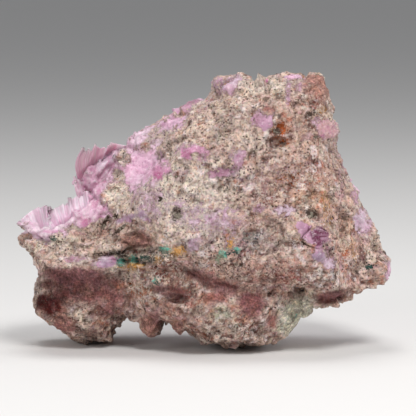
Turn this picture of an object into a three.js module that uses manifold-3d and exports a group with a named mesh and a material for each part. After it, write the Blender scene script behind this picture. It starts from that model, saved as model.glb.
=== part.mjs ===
// Cobaltoan calcite specimen: a broken lump of pale carbonate rock that carries a crust of pink calcite
// crystals over its back and round its upper left edge. Millimetres, +Z up, the rock's bare broken face
// towards -Y. The lump stands on two lobes, and the origin is on the surface below the middle of its box.
import * as THREE from "three";
import { mergeVertices } from "three/addons/utils/BufferGeometryUtils.js";
import { ImprovedNoise } from "three/addons/math/ImprovedNoise.js";
import Module from "manifold-3d";

const wasm = await Module();
wasm.setup();

// Driving dimensions.
const SEAM_GAP = 0.45; // between the rock and what grew on it
const ROCK_RIPPLE = 1.5; // height of the rock's unevenness
const RIPPLE_LENGTHS = [23, 11]; // and its coarse and fine spacing
const SWAY_LENGTH = 25; // spacing of the bends in the line where the crust meets the rock
const DOME_POWER = 0.74; // how square a lump's section is: 1 is an ellipse, 0 a box
const FLOOR_CUT = { width: 200, height: 20 }; // block that trims the lobes flat

// The rock's lumps. Each has an outline in the XZ plane, as seen from the front, about its own centre.
// mid is the Y of that outline, front and back are the depths before and behind it, and lean is how far
// the lump falls back for each millimetre of height. A fracture is a flat that the lump was broken along:
// its outward direction, and its distance from the lump's centre. sway is how far the outline bends forward
// and back, and detail is how finely the skin is cut.
const PLATE = {
  centre: [6, 48],
  mid: 0,
  front: 29,
  back: 22,
  lean: 0.06,
  detail: 8,
  outline: [
    [60.4, 25.5], [58.6, 28.8], [55.4, 32.3], [53.6, 35.8], [51, 42.2], [49, 44.5], [49.2, 48],
    [45.4, 54.7], [43.4, 59], [41.2, 65], [41, 72], [40.4, 78], [38.2, 84], [36.4, 87], [33.6, 88],
    [25.6, 87.4], [20.8, 86.4], [17.6, 84.8], [13.4, 87], [9, 87.4], [4.5, 84.4], [0, 79.5], [-5, 76.2],
    [-10, 72], [-14, 67], [-17, 62.5], [-20.5, 58], [-23.5, 53], [-26.5, 48], [-30, 43], [-34, 38.6],
    [-38, 35], [-40, 31], [-37, 26.5], [-28, 25], [-16, 26], [-6, 24], [4, 20.5], [14, 17.5], [24, 18],
    [34, 18.2], [42, 17.2], [49, 17.6], [54, 19.2], [58, 20.4], [60.6, 22.5],
  ],
  fractures: [
    { out: [0.05, -0.98, 0.16], distance: 25 }, // the broad bare face
    { out: [0.72, -0.68, 0.08], distance: 38 },
    { out: [-0.5, -0.7, 0.52], distance: 31.5 },
    { out: [0.25, -0.62, 0.74], distance: 42 },
    { out: [-0.5, -0.8, -0.35], distance: 33 },
    { out: [0.1, 0.98, 0.1], distance: 19 },
    { out: [0.55, 0.75, -0.35], distance: 34 },
    { out: [-0.5, 0.75, 0.4], distance: 31 },
  ],
};
const BASE = {
  centre: [4, 16],
  mid: 1,
  front: 23,
  back: 19,
  lean: 0.02,
  detail: 5,
  outline: [
    [38, 20], [33.5, 13.5], [31, 9.6], [29.2, 7.4], [25.3, 3.5], [20.5, 1.6], [16, -0.4], [11.2, -1.2],
    [6.7, -0.8], [1.6, 1], [-4.2, 5], [-9.9, 8.4], [-18.9, 9.5], [-24, 12.5], [-28, 18], [-28, 26],
    [-18, 31], [4, 32], [26, 29],
  ],
  fractures: [
    { out: [0.62, -0.66, -0.42], distance: 25 }, // the smooth slip at lower right
    { out: [0, -0.88, -0.48], distance: 22 },
    { out: [-0.6, -0.75, -0.2], distance: 24 },
    { out: [0.5, 0.8, -0.3], distance: 22 },
  ],
};
const LEFT_NOSE = {
  centre: [-42, 31],
  mid: -2,
  front: 21,
  back: 15,
  lean: 0.1,
  detail: 4,
  outline: [
    [-53, 26.3], [-55.7, 28], [-55.9, 31], [-59, 32.4], [-61, 35.2], [-59, 37.4], [-50, 37.4],
    [-43, 37], [-36, 38], [-28, 40], [-20, 38], [-18, 32], [-22, 27], [-29, 24.6], [-36, 24], [-46, 25],
  ],
  fractures: [
    { out: [-0.1, -0.7, 0.7], distance: 12.5 }, // the tan shelf
    { out: [-0.75, -0.6, -0.2], distance: 17.5 },
    { out: [0, -0.9, -0.42], distance: 17 },
    { out: [-0.5, 0.8, -0.2], distance: 15 },
  ],
};
const LEFT_LOBE = {
  centre: [-39, 15],
  mid: 7,
  front: 19,
  back: 17,
  lean: -0.38,
  detail: 5,
  outline: [
    [-53.4, 26], [-54.4, 19.8], [-54.7, 16.6], [-55.7, 14.1], [-55, 12.5], [-53.1, 10.2], [-49.3, 7.2],
    [-45.1, 3.8], [-41.6, 1.4], [-38.5, 0], [-35.5, -1], [-32, -0.6], [-29.8, 1.6], [-27.5, 5.6],
    [-24.5, 9.5], [-20, 14], [-20, 24], [-30, 31], [-42, 32], [-52, 30],
  ],
  fractures: [
    { out: [-0.1, -0.99, 0.1], distance: 17 }, // its own bare face
    { out: [-0.75, -0.62, 0.2], distance: 18.5 },
    { out: [-0.4, -0.7, -0.6], distance: 18.5 },
    { out: [0.5, -0.7, -0.5], distance: 18.5 },
    { out: [-0.3, 0.95, 0], distance: 14 },
  ],
};
const RIGHT_LEDGE = {
  centre: [37, 17],
  mid: 0,
  front: 17,
  back: 14,
  lean: 0,
  detail: 2,
  outline: [
    [48, 17], [47.4, 16], [42.6, 15], [38, 13.7], [34.9, 12.2], [30, 10.5], [25, 13], [28, 22], [38, 25],
    [48, 21],
  ],
  fractures: [{ out: [0.3, -0.9, -0.3], distance: 14 }],
};

// The solid calcite. The layer coats the rock's back and stands out past its edge, but stops short of its
// foot. The rim is where that layer comes forward along the upper left edge and over the nose.
const CRUST_LAYER = {
  centre: [4, 44],
  mid: 4,
  front: 5,
  back: 24,
  lean: 0.05,
  sway: 7,
  detail: 6,
  outline: [
    [60.2, 25], [59.4, 29.4], [56.8, 36], [53.6, 41.5], [50, 45], [50.2, 49], [46.4, 55], [44, 60],
    [42.6, 66], [42.8, 70], [41.8, 79], [40, 85], [36.5, 88], [32, 87.4], [27, 88.2], [21, 87.4],
    [17, 85.6], [12, 87.4], [7.5, 88.4], [3, 86], [1.4, 81], [-4.5, 78.6], [-10.5, 75], [-17, 71.4],
    [-22.8, 68], [-27, 62], [-31, 56], [-36, 50.5], [-42, 46.5], [-50, 43], [-54, 39], [-54, 34],
    [-50, 29], [-42, 23], [-33, 18], [-24, 14], [-12, 11.5], [0, 10], [12, 10.5], [24, 11.5], [34, 15],
    [44, 18.5], [56, 21],
  ],
  fractures: [
    { out: [0.1, 0.98, 0.1], distance: 22 },
    { out: [0.55, 0.75, -0.35], distance: 36 },
    { out: [-0.5, 0.75, 0.4], distance: 33 },
    { out: [0.2, 0.7, 0.68], distance: 41 },
    { out: [-0.2, 0.75, -0.63], distance: 32 },
  ],
};
const CRUST_RIM = {
  centre: [-31, 47],
  mid: 4,
  front: 17,
  back: 12,
  lean: 0.1,
  detail: 4,
  outline: [
    [-36, 34], [-28, 38], [-20, 48], [-12, 60], [-4, 70], [0, 76.6], [-4.8, 77.6], [-11, 74.2],
    [-17.2, 70.8], [-22.4, 67], [-25, 62], [-27.5, 57], [-31, 53], [-36, 49.4], [-42, 46], [-49, 43],
    [-57, 39.8], [-59, 36.5], [-50, 34], [-43, 33],
  ],
  fractures: [{ out: [-0.35, -0.75, 0.56], distance: 13 }],
};

// Knobs that stand off the rock's edge: centre [x, y, z] and half sizes.
const KNOBS = [
  { at: [-17.3, -7, 10.5], half: [4.2, 5.4, 6.6] },
  { at: [-8.2, -9, 10], half: [3.6, 4.6, 5.4] },
  { at: [-22.5, -4, 13], half: [3.4, 5, 4.4] },
  { at: [17.5, -4, 84.2], half: [2, 2.6, 2.6] },
  { at: [34.5, -6, 81.5], half: [4.6, 7, 6.2] },
  { at: [10, -3, 81.5], half: [6, 6, 5] },
];

// Clefts and pits in the bare face: place [x, z], half length, half height, depth below the face and the
// slope of its long way.
const CLEFTS = [
  { at: [-26, 30], length: 12.5, height: 1.6, depth: 6, slope: -0.03 }, // under the left shelf
  { at: [2, 24], length: 12, height: 1.8, depth: 4, slope: -0.42 }, // slanting across the middle
  { at: [-10.5, 18.5], length: 6, height: 1.8, depth: 4, slope: -0.05 }, // above the bottom knobs
  { at: [23, 68.6], length: 2.8, height: 2.3, depth: 2.6, slope: 0 }, // rust lined pit
  { at: [30, 19.6], length: 2, height: 1.5, depth: 3, slope: 0.2 }, // dark pit over the right ledge
  { at: [-30.6, 38.6], length: 1.3, height: 2.4, depth: 2.5, slope: 0 },
  { at: [34.4, 45.4], length: 1.7, height: 2.4, depth: 2.4, slope: 0 },
  { at: [35, 38], length: 6, height: 4, depth: 1.8, slope: -0.5 }, // the bed of the pocket crystal
];

// The mauve cleaved crystal that sits in its bed in the bare face: its middle [x, z], its size across,
// front to back and upright, the lean of its ends, the slope and yaw of its long way, and its depth.
const POCKET_CRYSTAL = { at: [34.6, 38], size: [9, 6, 5.4], shear: 0.35, slope: -0.5, yaw: 0.4, sunk: 4.6 };

// The broad crystals that lie over the left nose and radiate from one root up and to the left. Each
// starts part of the way from the root to its tip; thickness is front to back.
const NOSE_SPRAY = {
  root: [-33, -13, 36],
  start: 0.12,
  tips: [
    { at: [-60.5, -7, 40.8], width: 9, thickness: 7 },
    { at: [-56.8, -4, 44.2], width: 8, thickness: 7 },
    { at: [-51.8, -7, 46.8], width: 8.5, thickness: 6.5 },
    { at: [-45.4, -5, 46.6], width: 7, thickness: 6.5 },
    { at: [-43.6, -9, 48.3], width: 6, thickness: 6 },
    { at: [-41.2, -3, 48.8], width: 7, thickness: 7 },
    { at: [-37, -7, 51], width: 6.5, thickness: 6.5 },
    { at: [-33.5, -8, 53], width: 6.5, thickness: 6 },
    { at: [-30.5, -6, 55], width: 6, thickness: 7 },
    { at: [-52, 1, 39.5], width: 9, thickness: 8 },
    { at: [-46, 2, 44], width: 8, thickness: 8 },
    { at: [-53, -14, 38], width: 6, thickness: 5 },
  ],
};

// The fan of thin blades that stands up behind the upper left edge: the root and tip of each blade.
const BLADE_FAN = {
  thickness: 2.6,
  blades: [
    { root: [-38, 2, 45.5], tip: [-42.3, 1, 54.8], width: 4.2 },
    { root: [-37, 4, 46.5], tip: [-41.4, 3.4, 61], width: 5 },
    { root: [-34.5, 3, 48], tip: [-39.8, 2, 64.6], width: 5 },
    { root: [-33.5, 5, 49], tip: [-36.9, 4.4, 63.4], width: 4.2 },
    { root: [-32, 3.6, 49.5], tip: [-35, 3, 65.3], width: 5 },
    { root: [-30.5, 5.4, 51], tip: [-32, 5, 63.6], width: 4.6 },
    { root: [-28.5, 4, 53], tip: [-30.2, 3.6, 65.7], width: 4.8 },
    { root: [-26.5, 5.5, 55], tip: [-26.6, 5, 65.2], width: 4.6 },
  ],
};

// Crystals that cover the back in rosettes, and that fringe the crust's upper left rim.
const ROSETTES = { count: 15, reach: 0.88, crystals: 4, length: 8.5, width: 7.5, spread: 0.7, foot: 2.6 };
const RIM_TEETH = { count: 9, from: 0.5, to: 0.85, length: 6, width: 5 };

const noise = new ImprovedNoise();
const turn = 2 * Math.PI;
const goldenAngle = Math.PI * (3 - Math.sqrt(5));
const FORWARD = new THREE.Vector3(0, -1, 0);

// Unevenness of a broken surface at a point, about -1 to 1.
function ripple({ x, y, z }) {
  const [coarse, fine] = RIPPLE_LENGTHS;
  const broad = noise.noise(x / coarse, y / coarse, z / coarse);
  const small = noise.noise(x / fine + 9.3, y / fine + 4.1, z / fine + 7.7);
  return 1.2 * broad + 0.6 * small;
}

// A repeatable share from 0 to 1 for the nth of something.
function chance(n, salt) {
  const mixed = Math.sin(n * 12.9898 + salt * 78.233) * 43758.5453;
  return mixed - Math.floor(mixed);
}

// Radius of an outline about its centre, by angle: straight lines between its points.
function outlineRadius({ centre, outline }) {
  const spokes = outline
    .map(([x, z]) => [Math.atan2(z - centre[1], x - centre[0]), Math.hypot(x - centre[0], z - centre[1])])
    .sort((a, b) => a[0] - b[0]);
  const [first, last] = [spokes[0], spokes.at(-1)];
  const ring = [[last[0] - turn, last[1]], ...spokes, [first[0] + turn, first[1]]];
  return (angle) => {
    const i = ring.findIndex(([spoke]) => spoke > angle);
    const [a0, r0] = ring[i - 1];
    const [a1, r1] = ring[i];
    return (r0 * r1 * Math.sin(a1 - a0)) / (r0 * Math.sin(angle - a0) + r1 * Math.sin(a1 - angle));
  };
}

// The skin of a lump as a function of a direction: out to the outline, domed before and behind it, and
// flattened along its fractures.
function skinOf(lump, rough = ROCK_RIPPLE) {
  const { centre, mid, front, back, lean, sway = 0, fractures } = lump;
  const radius = outlineRadius(lump);
  const middle = new THREE.Vector3(centre[0], mid, centre[1]);
  const planes = fractures.map(({ out, distance }) => {
    const normal = new THREE.Vector3(...out).normalize();
    return new THREE.Plane(normal, -distance - normal.dot(middle));
  });
  return (direction) => {
    const angle = Math.atan2(direction.z, direction.x);
    const reach = radius(angle) * Math.hypot(direction.x, direction.z) ** DOME_POWER;
    const bulge = Math.sign(direction.y) * Math.abs(direction.y) ** DOME_POWER;
    const rise = reach * Math.sin(angle);
    const point = new THREE.Vector3(reach * Math.cos(angle), 0, rise).add(middle);
    point.y += (direction.y < 0 ? front : back) * bulge + lean * rise;
    point.y += sway * noise.noise(point.x / SWAY_LENGTH, 0, point.z / SWAY_LENGTH);
    for (const plane of planes) {
      const excess = plane.distanceToPoint(point);
      if (excess > 0) point.addScaledVector(plane.normal, -excess);
    }
    return point.addScaledVector(direction, rough * ripple(point) * (0.35 + 0.65 * Math.abs(direction.y)));
  };
}

// The direction that reaches a share of an outline at an angle, on a lump's front or back.
function towards(angle, share, side) {
  const flat = share ** (1 / DOME_POWER);
  return new THREE.Vector3(flat * Math.cos(angle), side * Math.sqrt(1 - flat * flat), flat * Math.sin(angle));
}

// The angle of [x, z] about a lump's centre, and its share of the way out to the outline.
function polar(lump, [x, z]) {
  const [dx, dz] = [x - lump.centre[0], z - lump.centre[1]];
  const angle = Math.atan2(dz, dx);
  return { angle, share: Math.hypot(dx, dz) / outlineRadius(lump)(angle) };
}

// Whether [x, z] is well inside a lump's outline.
const covers = (lump, place) => polar(lump, place).share < 0.9;

// The point of a lump's front at [x, z].
function frontPoint(lump, place) {
  const { angle, share } = polar(lump, place);
  return skinOf(lump)(towards(angle, share, -1));
}

// A closed three.js geometry as a solid.
function solid(geometry) {
  const bare = new THREE.BufferGeometry().setAttribute("position", geometry.getAttribute("position"));
  if (geometry.index) bare.setIndex(geometry.index);
  const merged = mergeVertices(bare, 1e-4);
  const corners = [];
  for (let i = 0; i < merged.index.count; i += 3) {
    const [a, b, c] = [merged.index.getX(i), merged.index.getX(i + 1), merged.index.getX(i + 2)];
    if (a !== b && b !== c && c !== a) corners.push(a, b, c);
  }
  const vertProperties = merged.getAttribute("position").array;
  return new wasm.Manifold(new wasm.Mesh({ numProp: 3, vertProperties, triVerts: new Uint32Array(corners) }));
}

const join = (solids) => solids.reduce((all, next) => all.add(next));

// A closed lump, swollen by grow all over for cutting a seat with a gap.
function lumpSolid(lump, { grow = 0, rough } = {}) {
  const skin = skinOf(lump, rough);
  const geometry = new THREE.IcosahedronGeometry(1, lump.detail);
  const points = geometry.getAttribute("position");
  const direction = new THREE.Vector3();
  for (let i = 0; i < points.count; i += 1) {
    direction.fromBufferAttribute(points, i).normalize();
    const point = skin(direction).addScaledVector(direction, grow);
    points.setXYZ(i, point.x, point.y, point.z);
  }
  return solid(geometry);
}

// A rough stone of given half sizes, for knobs and for the hollows of clefts.
function stone(at, [halfX, halfY, halfZ], { slope = 0, grow = 0 } = {}) {
  const geometry = new THREE.IcosahedronGeometry(1, 1);
  const points = geometry.getAttribute("position");
  const half = new THREE.Vector3(halfX + grow, halfY + grow, halfZ + grow);
  const point = new THREE.Vector3();
  for (let i = 0; i < points.count; i += 1) {
    point.fromBufferAttribute(points, i);
    const swell = 1 + 0.35 * noise.noise(point.x * 1.7 + at.x, point.y * 1.7 + at.y, point.z * 1.7 + at.z);
    point.multiplyScalar(swell).multiply(half);
    points.setXYZ(i, point.x, point.y, point.z);
  }
  return solid(geometry.rotateY(-Math.atan(slope)).translate(at.x, at.y, at.z));
}

function rockLumps(grow = 0) {
  const lumps = [PLATE, BASE, LEFT_NOSE, LEFT_LOBE, RIGHT_LEDGE].map((lump) => lumpSolid(lump, { grow }));
  const knobs = KNOBS.map(({ at, half }) => stone(new THREE.Vector3(...at), half, { grow }));
  return join([...lumps, ...knobs]);
}

// Everything under the surface that the specimen stands on.
function belowFloor() {
  const { width, height } = FLOOR_CUT;
  return solid(new THREE.BoxGeometry(width, width, height).translate(0, 0, -height / 2));
}

// The rock's front at [x, z], on whichever lump stands foremost there.
function bareFace(place) {
  return [PLATE, BASE, LEFT_NOSE]
    .filter((lump) => covers(lump, place))
    .map((lump) => frontPoint(lump, place))
    .reduce((nearest, next) => (next.y < nearest.y ? next : nearest));
}

// A leaning block, as calcite cleaves, swollen by grow all round.
function pocketCrystal(grow = 0) {
  const { at, size, shear, slope, yaw, sunk } = POCKET_CRYSTAL;
  const [across, deep, tall] = size.map((side) => side + 2 * grow);
  const block = new THREE.BoxGeometry(across, deep, tall);
  block.applyMatrix4(new THREE.Matrix4().makeShear(0, 0, 0, 0, shear, 0));
  const { x, y, z } = bareFace(at);
  return solid(block.rotateY(-Math.atan(slope)).rotateZ(yaw).translate(x, y + sunk, z));
}

function matrixRock() {
  const hollows = CLEFTS.map(({ at, length, height, depth, slope }) => {
    return stone(bareFace(at), [length, depth, height], { slope });
  });
  return rockLumps().subtract(join(hollows)).subtract(pocketCrystal(SEAM_GAP)).subtract(belowFloor());
}

// A six-sided calcite crystal from root to tip. Its girdle zigzags as a dog tooth's does, and its flat
// side is turned to face.
function crystal({ root, tip, width, thickness = width, face = FORWARD, shoulders = true }) {
  const along = tip.clone().sub(root);
  const length = along.length();
  const half = width / 2;
  const profile = shoulders
    ? [[0, 0], [half, length * 0.4], [half * 0.62, length * 0.82], [0, length]]
    : [[0, 0], [half, length * 0.3], [0, length]];
  const geometry = new THREE.LatheGeometry(profile.map(([r, h]) => new THREE.Vector2(r, h)), 6);
  const points = geometry.getAttribute("position");
  for (let i = 0; i < points.count; i += 1) {
    const radius = Math.hypot(points.getX(i), points.getZ(i));
    const corner = Math.round((Math.atan2(points.getZ(i), points.getX(i)) / turn) * 6);
    const zigzag = corner % 2 === 0 ? 0.07 : -0.07;
    if (radius > half * 0.1) points.setY(i, points.getY(i) + zigzag * length);
  }
  const up = along.normalize();
  const side = new THREE.Vector3().crossVectors(up, face).normalize();
  const flat = new THREE.Vector3().crossVectors(side, up);
  geometry.scale(1, 1, thickness / width);
  geometry.applyMatrix4(new THREE.Matrix4().makeBasis(side, up, flat).setPosition(root));
  return solid(geometry);
}

function noseSpray() {
  const root = new THREE.Vector3(...NOSE_SPRAY.root);
  return NOSE_SPRAY.tips.map(({ at, width, thickness }) => {
    const tip = new THREE.Vector3(...at);
    return crystal({ root: root.clone().lerp(tip, NOSE_SPRAY.start), tip, width, thickness });
  });
}

function bladeFan() {
  return BLADE_FAN.blades.map(({ root, tip, width }) =>
    crystal({
      root: new THREE.Vector3(...root),
      tip: new THREE.Vector3(...tip),
      width,
      thickness: BLADE_FAN.thickness,
    }),
  );
}

// Outward direction of a lump's skin.
function skinNormal(skin, angle, share, side) {
  const step = 0.04;
  const here = skin(towards(angle, share, side));
  const around = skin(towards(angle + step, share, side)).sub(here);
  const outward = skin(towards(angle, share + step, side)).sub(here);
  return new THREE.Vector3().crossVectors(outward, around).multiplyScalar(side).normalize();
}

// Rosettes of crystals over the back, spaced on a spiral that fills the crust's outline.
function rosettes() {
  const { count, reach, crystals, length, width, spread, foot } = ROSETTES;
  const skin = skinOf(CRUST_LAYER);
  const made = [];
  for (let n = 0; n < count; n += 1) {
    const share = reach * Math.sqrt((n + 0.6) / count);
    const angle = ((n * goldenAngle + Math.PI) % turn) - Math.PI;
    const normal = skinNormal(skin, angle, share, 1);
    const seat = skin(towards(angle, share, 1)).addScaledVector(normal, -foot);
    const across = new THREE.Vector3().crossVectors(normal, new THREE.Vector3(0, 0, 1)).normalize();
    for (let k = 0; k < crystals; k += 1) {
      const lean = k === 0 ? 0.1 : spread * (0.7 + 0.6 * chance(n * 7 + k, 1));
      const round = across.clone().applyAxisAngle(normal, (k / (crystals - 1)) * turn + n);
      const way = normal.clone().addScaledVector(round, lean).normalize();
      const size = 0.75 + 0.5 * chance(n * 7 + k, 2);
      const root = seat.clone().addScaledVector(round, k === 0 ? 0 : 1.6);
      const tip = root.clone().addScaledVector(way, foot + length * size);
      made.push(crystal({ root, tip, width: width * size, face: round, shoulders: false }));
    }
  }
  return made;
}

// Short teeth along the crust's upper left rim, from one share of half a turn to another.
function rimTeeth() {
  const { count, from, to, length, width } = RIM_TEETH;
  const skin = skinOf(CRUST_LAYER);
  const made = [];
  for (let n = 0; n < count; n += 1) {
    const angle = Math.PI * (from + ((to - from) * (n + 0.5 * chance(n, 3))) / count);
    const edge = skin(towards(angle, 0.97, 1));
    const way = new THREE.Vector3(Math.cos(angle), 0.5 * chance(n, 4), Math.sin(angle)).normalize();
    const root = edge.clone().addScaledVector(way, -length * 0.75);
    const tip = root.clone().addScaledVector(way, length * (0.95 + 0.35 * chance(n, 5)));
    made.push(crystal({ root, tip, width, shoulders: false }));
  }
  return made;
}

function calciteCrust() {
  const layers = [lumpSolid(CRUST_LAYER), lumpSolid(CRUST_RIM)];
  const grown = [...layers, ...noseSpray(), ...bladeFan(), ...rosettes(), ...rimTeeth()];
  const trimmed = join(grown).subtract(rockLumps(SEAM_GAP));
  return trimmed.decompose().reduce((largest, next) => (next.volume() > largest.volume() ? next : largest));
}

function meshOf(name, made, finish) {
  const { vertProperties, triVerts } = made.getMesh();
  const geometry = new THREE.BufferGeometry();
  geometry.setAttribute("position", new THREE.BufferAttribute(vertProperties, 3));
  geometry.setIndex(new THREE.BufferAttribute(triVerts, 1));
  const mesh = new THREE.Mesh(geometry.toNonIndexed(), finish);
  mesh.geometry.computeVertexNormals();
  mesh.name = name;
  return mesh;
}

const rockFinish = new THREE.MeshStandardMaterial({ color: 0xb8a295, roughness: 0.9, metalness: 0 });
const calciteFinish = new THREE.MeshStandardMaterial({ color: 0xd9a8c4, roughness: 0.35, metalness: 0 });
const mauveFinish = new THREE.MeshStandardMaterial({ color: 0x946375, roughness: 0.3, metalness: 0 });

const specimen = new THREE.Group();
specimen.name = "cobaltoan_calcite_specimen";
specimen.add(meshOf("matrix_rock", matrixRock(), rockFinish));
specimen.add(meshOf("calcite_crust", calciteCrust(), calciteFinish));
specimen.add(meshOf("pocket_crystal", pocketCrystal(), mauveFinish));

// The origin goes below the middle of the specimen's box.
const middle = new THREE.Box3().setFromObject(specimen).getCenter(new THREE.Vector3());
specimen.position.set(-middle.x, -middle.y, 0);

export default specimen;
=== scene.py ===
"""Looks of a cobaltoan calcite specimen: rough carbonate rock with a crust and sprays of pink crystals."""
import itertools
import math
import random

import bpy
import numpy as np
from mathutils import Matrix, Vector
from mathutils.bvhtree import BVHTree
from mathutils.kdtree import KDTree


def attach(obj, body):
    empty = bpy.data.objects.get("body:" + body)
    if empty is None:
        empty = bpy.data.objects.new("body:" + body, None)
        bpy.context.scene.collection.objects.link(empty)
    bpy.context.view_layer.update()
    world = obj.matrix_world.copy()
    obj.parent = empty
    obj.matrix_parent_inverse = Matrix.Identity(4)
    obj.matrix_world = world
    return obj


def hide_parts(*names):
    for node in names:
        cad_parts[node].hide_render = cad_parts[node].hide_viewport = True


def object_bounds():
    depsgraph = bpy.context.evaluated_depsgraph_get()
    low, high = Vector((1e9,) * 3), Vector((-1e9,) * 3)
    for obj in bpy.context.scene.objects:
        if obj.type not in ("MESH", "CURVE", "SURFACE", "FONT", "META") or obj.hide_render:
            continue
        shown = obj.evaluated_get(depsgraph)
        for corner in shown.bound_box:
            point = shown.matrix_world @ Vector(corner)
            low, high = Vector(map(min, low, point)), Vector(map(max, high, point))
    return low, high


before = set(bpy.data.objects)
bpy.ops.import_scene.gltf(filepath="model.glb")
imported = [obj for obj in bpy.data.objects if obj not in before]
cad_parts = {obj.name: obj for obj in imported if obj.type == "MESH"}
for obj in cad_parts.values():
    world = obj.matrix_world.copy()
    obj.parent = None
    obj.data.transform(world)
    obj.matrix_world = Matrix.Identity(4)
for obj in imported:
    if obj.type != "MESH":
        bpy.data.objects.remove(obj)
cad_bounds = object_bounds()

MM = 0.001

# ---------------------------------------------------------------- driving sizes

# The specimen is seen from the front and a little above, by a long lens.
EYE_DISTANCE = 900 * MM
EYE_RISE = math.radians(6)
LOOK_AT = Vector((1.6, 0, 44.9)) * MM
VIEW_WIDTH = 133 * MM

# Sizes of the faces that the skins are cut into.
ROCK_GRAIN = 0.58 * MM
CRUST_GRAIN = 0.6 * MM
BLOCK_GRAIN = 0.35 * MM
WHOLE_GRAIN = 1.3 * MM
SWELL = 0.35 * MM  # both skins swell a little, to close the seam between them
BLOCK_SWELL = 0.8 * MM  # and the pocket's block more, to fill its pocket
LOWEST = 0.02 * MM  # no part of a skin goes below this, just above the floor
BED_DEPTH = 2.0  # how far the back of the crust is sunk for the crystals that grow on it, in millimetres
FAN_BED_DEPTH = 1.4  # and how much more behind the blade fan
RELIEF_SUNK = 0.9  # how far the whole relief is sunk, to keep its crests near the CAD form, in millimetres
HALF_SEAM = 0.27 * MM  # how far the strip over the seam swells
SEAM_STRIP = 1.5 * MM  # how far from both solids the strip over their seam reaches
STRIP_THICKNESS = 0.8 * MM
BLADE_THICKNESS = 0.8 * MM
BLADE_DIVE = 1.6  # how far the hidden foot of a shell of blades lies behind the face, in millimetres
ROOTED = 1.2  # how deep a crystal of the druse stands in the crust, in millimetres
BLOCK_STEPS = 0.8  # how high the cleavage steps on the pocket's block are, in millimetres
BLOCK_SET_BACK = np.array((0, 0.1, 0)) * MM
SPARE = 1.2 * MM  # how far a crystal may stand out of the CAD solids' box

# Clefts filled to a shallow groove: place across and up, half length, half height, slope and depth left.
FILLED_CLEFTS = [
    (2, 24, 12.6, 2.6, -0.42, 0.3),
    (-10.5, 18.5, 6.6, 2.6, -0.05, 0.5),
    (4, 21.2, 8, 2.2, -0.55, 0.3),
    (-31.4, 28, 6, 1.4, 0.05, 0.1),
]
FILLER_DEPTH = 4  # half the depth of the bodies that fill them, in millimetres


def srgb(*tones):
    """A display colour, 0 to 255, as the linear colour that shaders take."""
    return tuple(((tone / 255 + 0.055) / 1.055) ** 2.4 if tone > 10 else tone / 255 / 12.92 for tone in tones)


# ---------------------------------------------------------------- mesh tools

def only(piece):
    """Makes a piece the one selected and active object."""
    bpy.ops.object.select_all(action="DESELECT")
    piece.select_set(True)
    bpy.context.view_layer.objects.active = piece


def finish_modifier(piece, kind, **settings):
    """Adds a modifier with its settings and applies it."""
    only(piece)
    modifier = piece.modifiers.new(kind.lower(), kind)
    for name, value in settings.items():
        setattr(modifier, name, value)
    bpy.ops.object.modifier_apply(modifier=modifier.name)


def fill_cleft(piece, across, up, length, height, slope, sunk):
    """Adds a body that leaves only a shallow groove of a cleft in a copy of the rock."""
    hits = []
    for beside in (-1.8 * height, 1.8 * height):
        eye = seen_at(across, up + beside, -60)
        way = (seen_at(across, up + beside, 0) - eye).normalized()
        hits.append(piece.ray_cast(eye, way)[1].y / MM)
    middle = seen_at(across, up, sum(hits) / 2 + sunk + FILLER_DEPTH)
    bpy.ops.mesh.primitive_ico_sphere_add(subdivisions=3, radius=1, location=middle)
    filler = bpy.context.object
    filler.scale = (length * MM, FILLER_DEPTH * MM, height * MM)
    filler.rotation_euler.y = -slope
    bpy.ops.object.transform_apply(location=True, rotation=True, scale=True)
    piece.select_set(True)
    bpy.context.view_layer.objects.active = piece
    bpy.ops.object.join()


def skin_of(node, name, grain, second_node="", swell=0.0):
    """A closed even skin over a copy of a CAD node, or of two as one, ready to be displaced."""
    piece = bpy.data.objects.new(name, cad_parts[node].data.copy())
    bpy.context.collection.objects.link(piece)
    only(piece)
    if node == "matrix_rock":
        for cleft in FILLED_CLEFTS:
            fill_cleft(piece, *cleft)
    if second_node:
        second = bpy.data.objects.new(name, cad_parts[second_node].data.copy())
        bpy.context.collection.objects.link(second)
        second.select_set(True)
        bpy.ops.object.join()
    bpy.ops.object.mode_set(mode="EDIT")
    bpy.ops.mesh.select_all(action="SELECT")
    bpy.ops.mesh.remove_doubles(threshold=0.01 * MM)
    bpy.ops.object.mode_set(mode="OBJECT")
    if swell:
        finish_modifier(piece, "DISPLACE", strength=swell, mid_level=0.0)
    finish_modifier(piece, "REMESH", mode="VOXEL", voxel_size=grain, use_smooth_shade=True)
    return piece


def vertex_array(piece, what):
    """A piece's vertex places ("co") or normals ("normal") as an array of rows."""
    values = np.zeros(len(piece.data.vertices) * 3)
    piece.data.vertices.foreach_get(what, values)
    return values.reshape(-1, 3)


def mark(piece, name, kind, field, values):
    """Stores values for each vertex as an attribute that materials read."""
    attribute = piece.data.attributes.new(name, kind, "POINT")
    attribute.data.foreach_set(field, np.asarray(values, np.float32).ravel())


def paint(piece, name, colours):
    """Stores one linear colour for each vertex."""
    solid = np.hstack([np.clip(colours, 0, 1), np.ones((len(colours), 1))])
    mark(piece, name, "FLOAT_COLOR", "color", solid)


def store(piece, look):
    """Stores rows of colours and single numbers under their names."""
    for name, values in look.items():
        if values.ndim == 2:
            paint(piece, name, values)
        else:
            mark(piece, name, "FLOAT", "value", values)


# ---------------------------------------------------------------- noise and masks

def hashed(corners, seed):
    """A random number from 0 to 1 for each row of whole numbers."""
    mixed = np.sin(corners @ (12.9898, 78.233, 37.719) + seed * 1.7) * 43758.5453
    return mixed - np.floor(mixed)


def drift(places, length, seed):
    """Smooth noise from -1 to 1 at rows of places, its waves about length long."""
    grid = places / length + 31.7 * seed
    corner = np.floor(grid)
    part = grid - corner
    part = part * part * (3 - 2 * part)
    total = np.zeros(len(places))
    for step in itertools.product((0, 1), repeat=3):
        weight = np.prod(np.where(step, part, 1 - part), axis=1)
        total += hashed(corner + step, seed) * weight
    return 2 * total - 1


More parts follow.
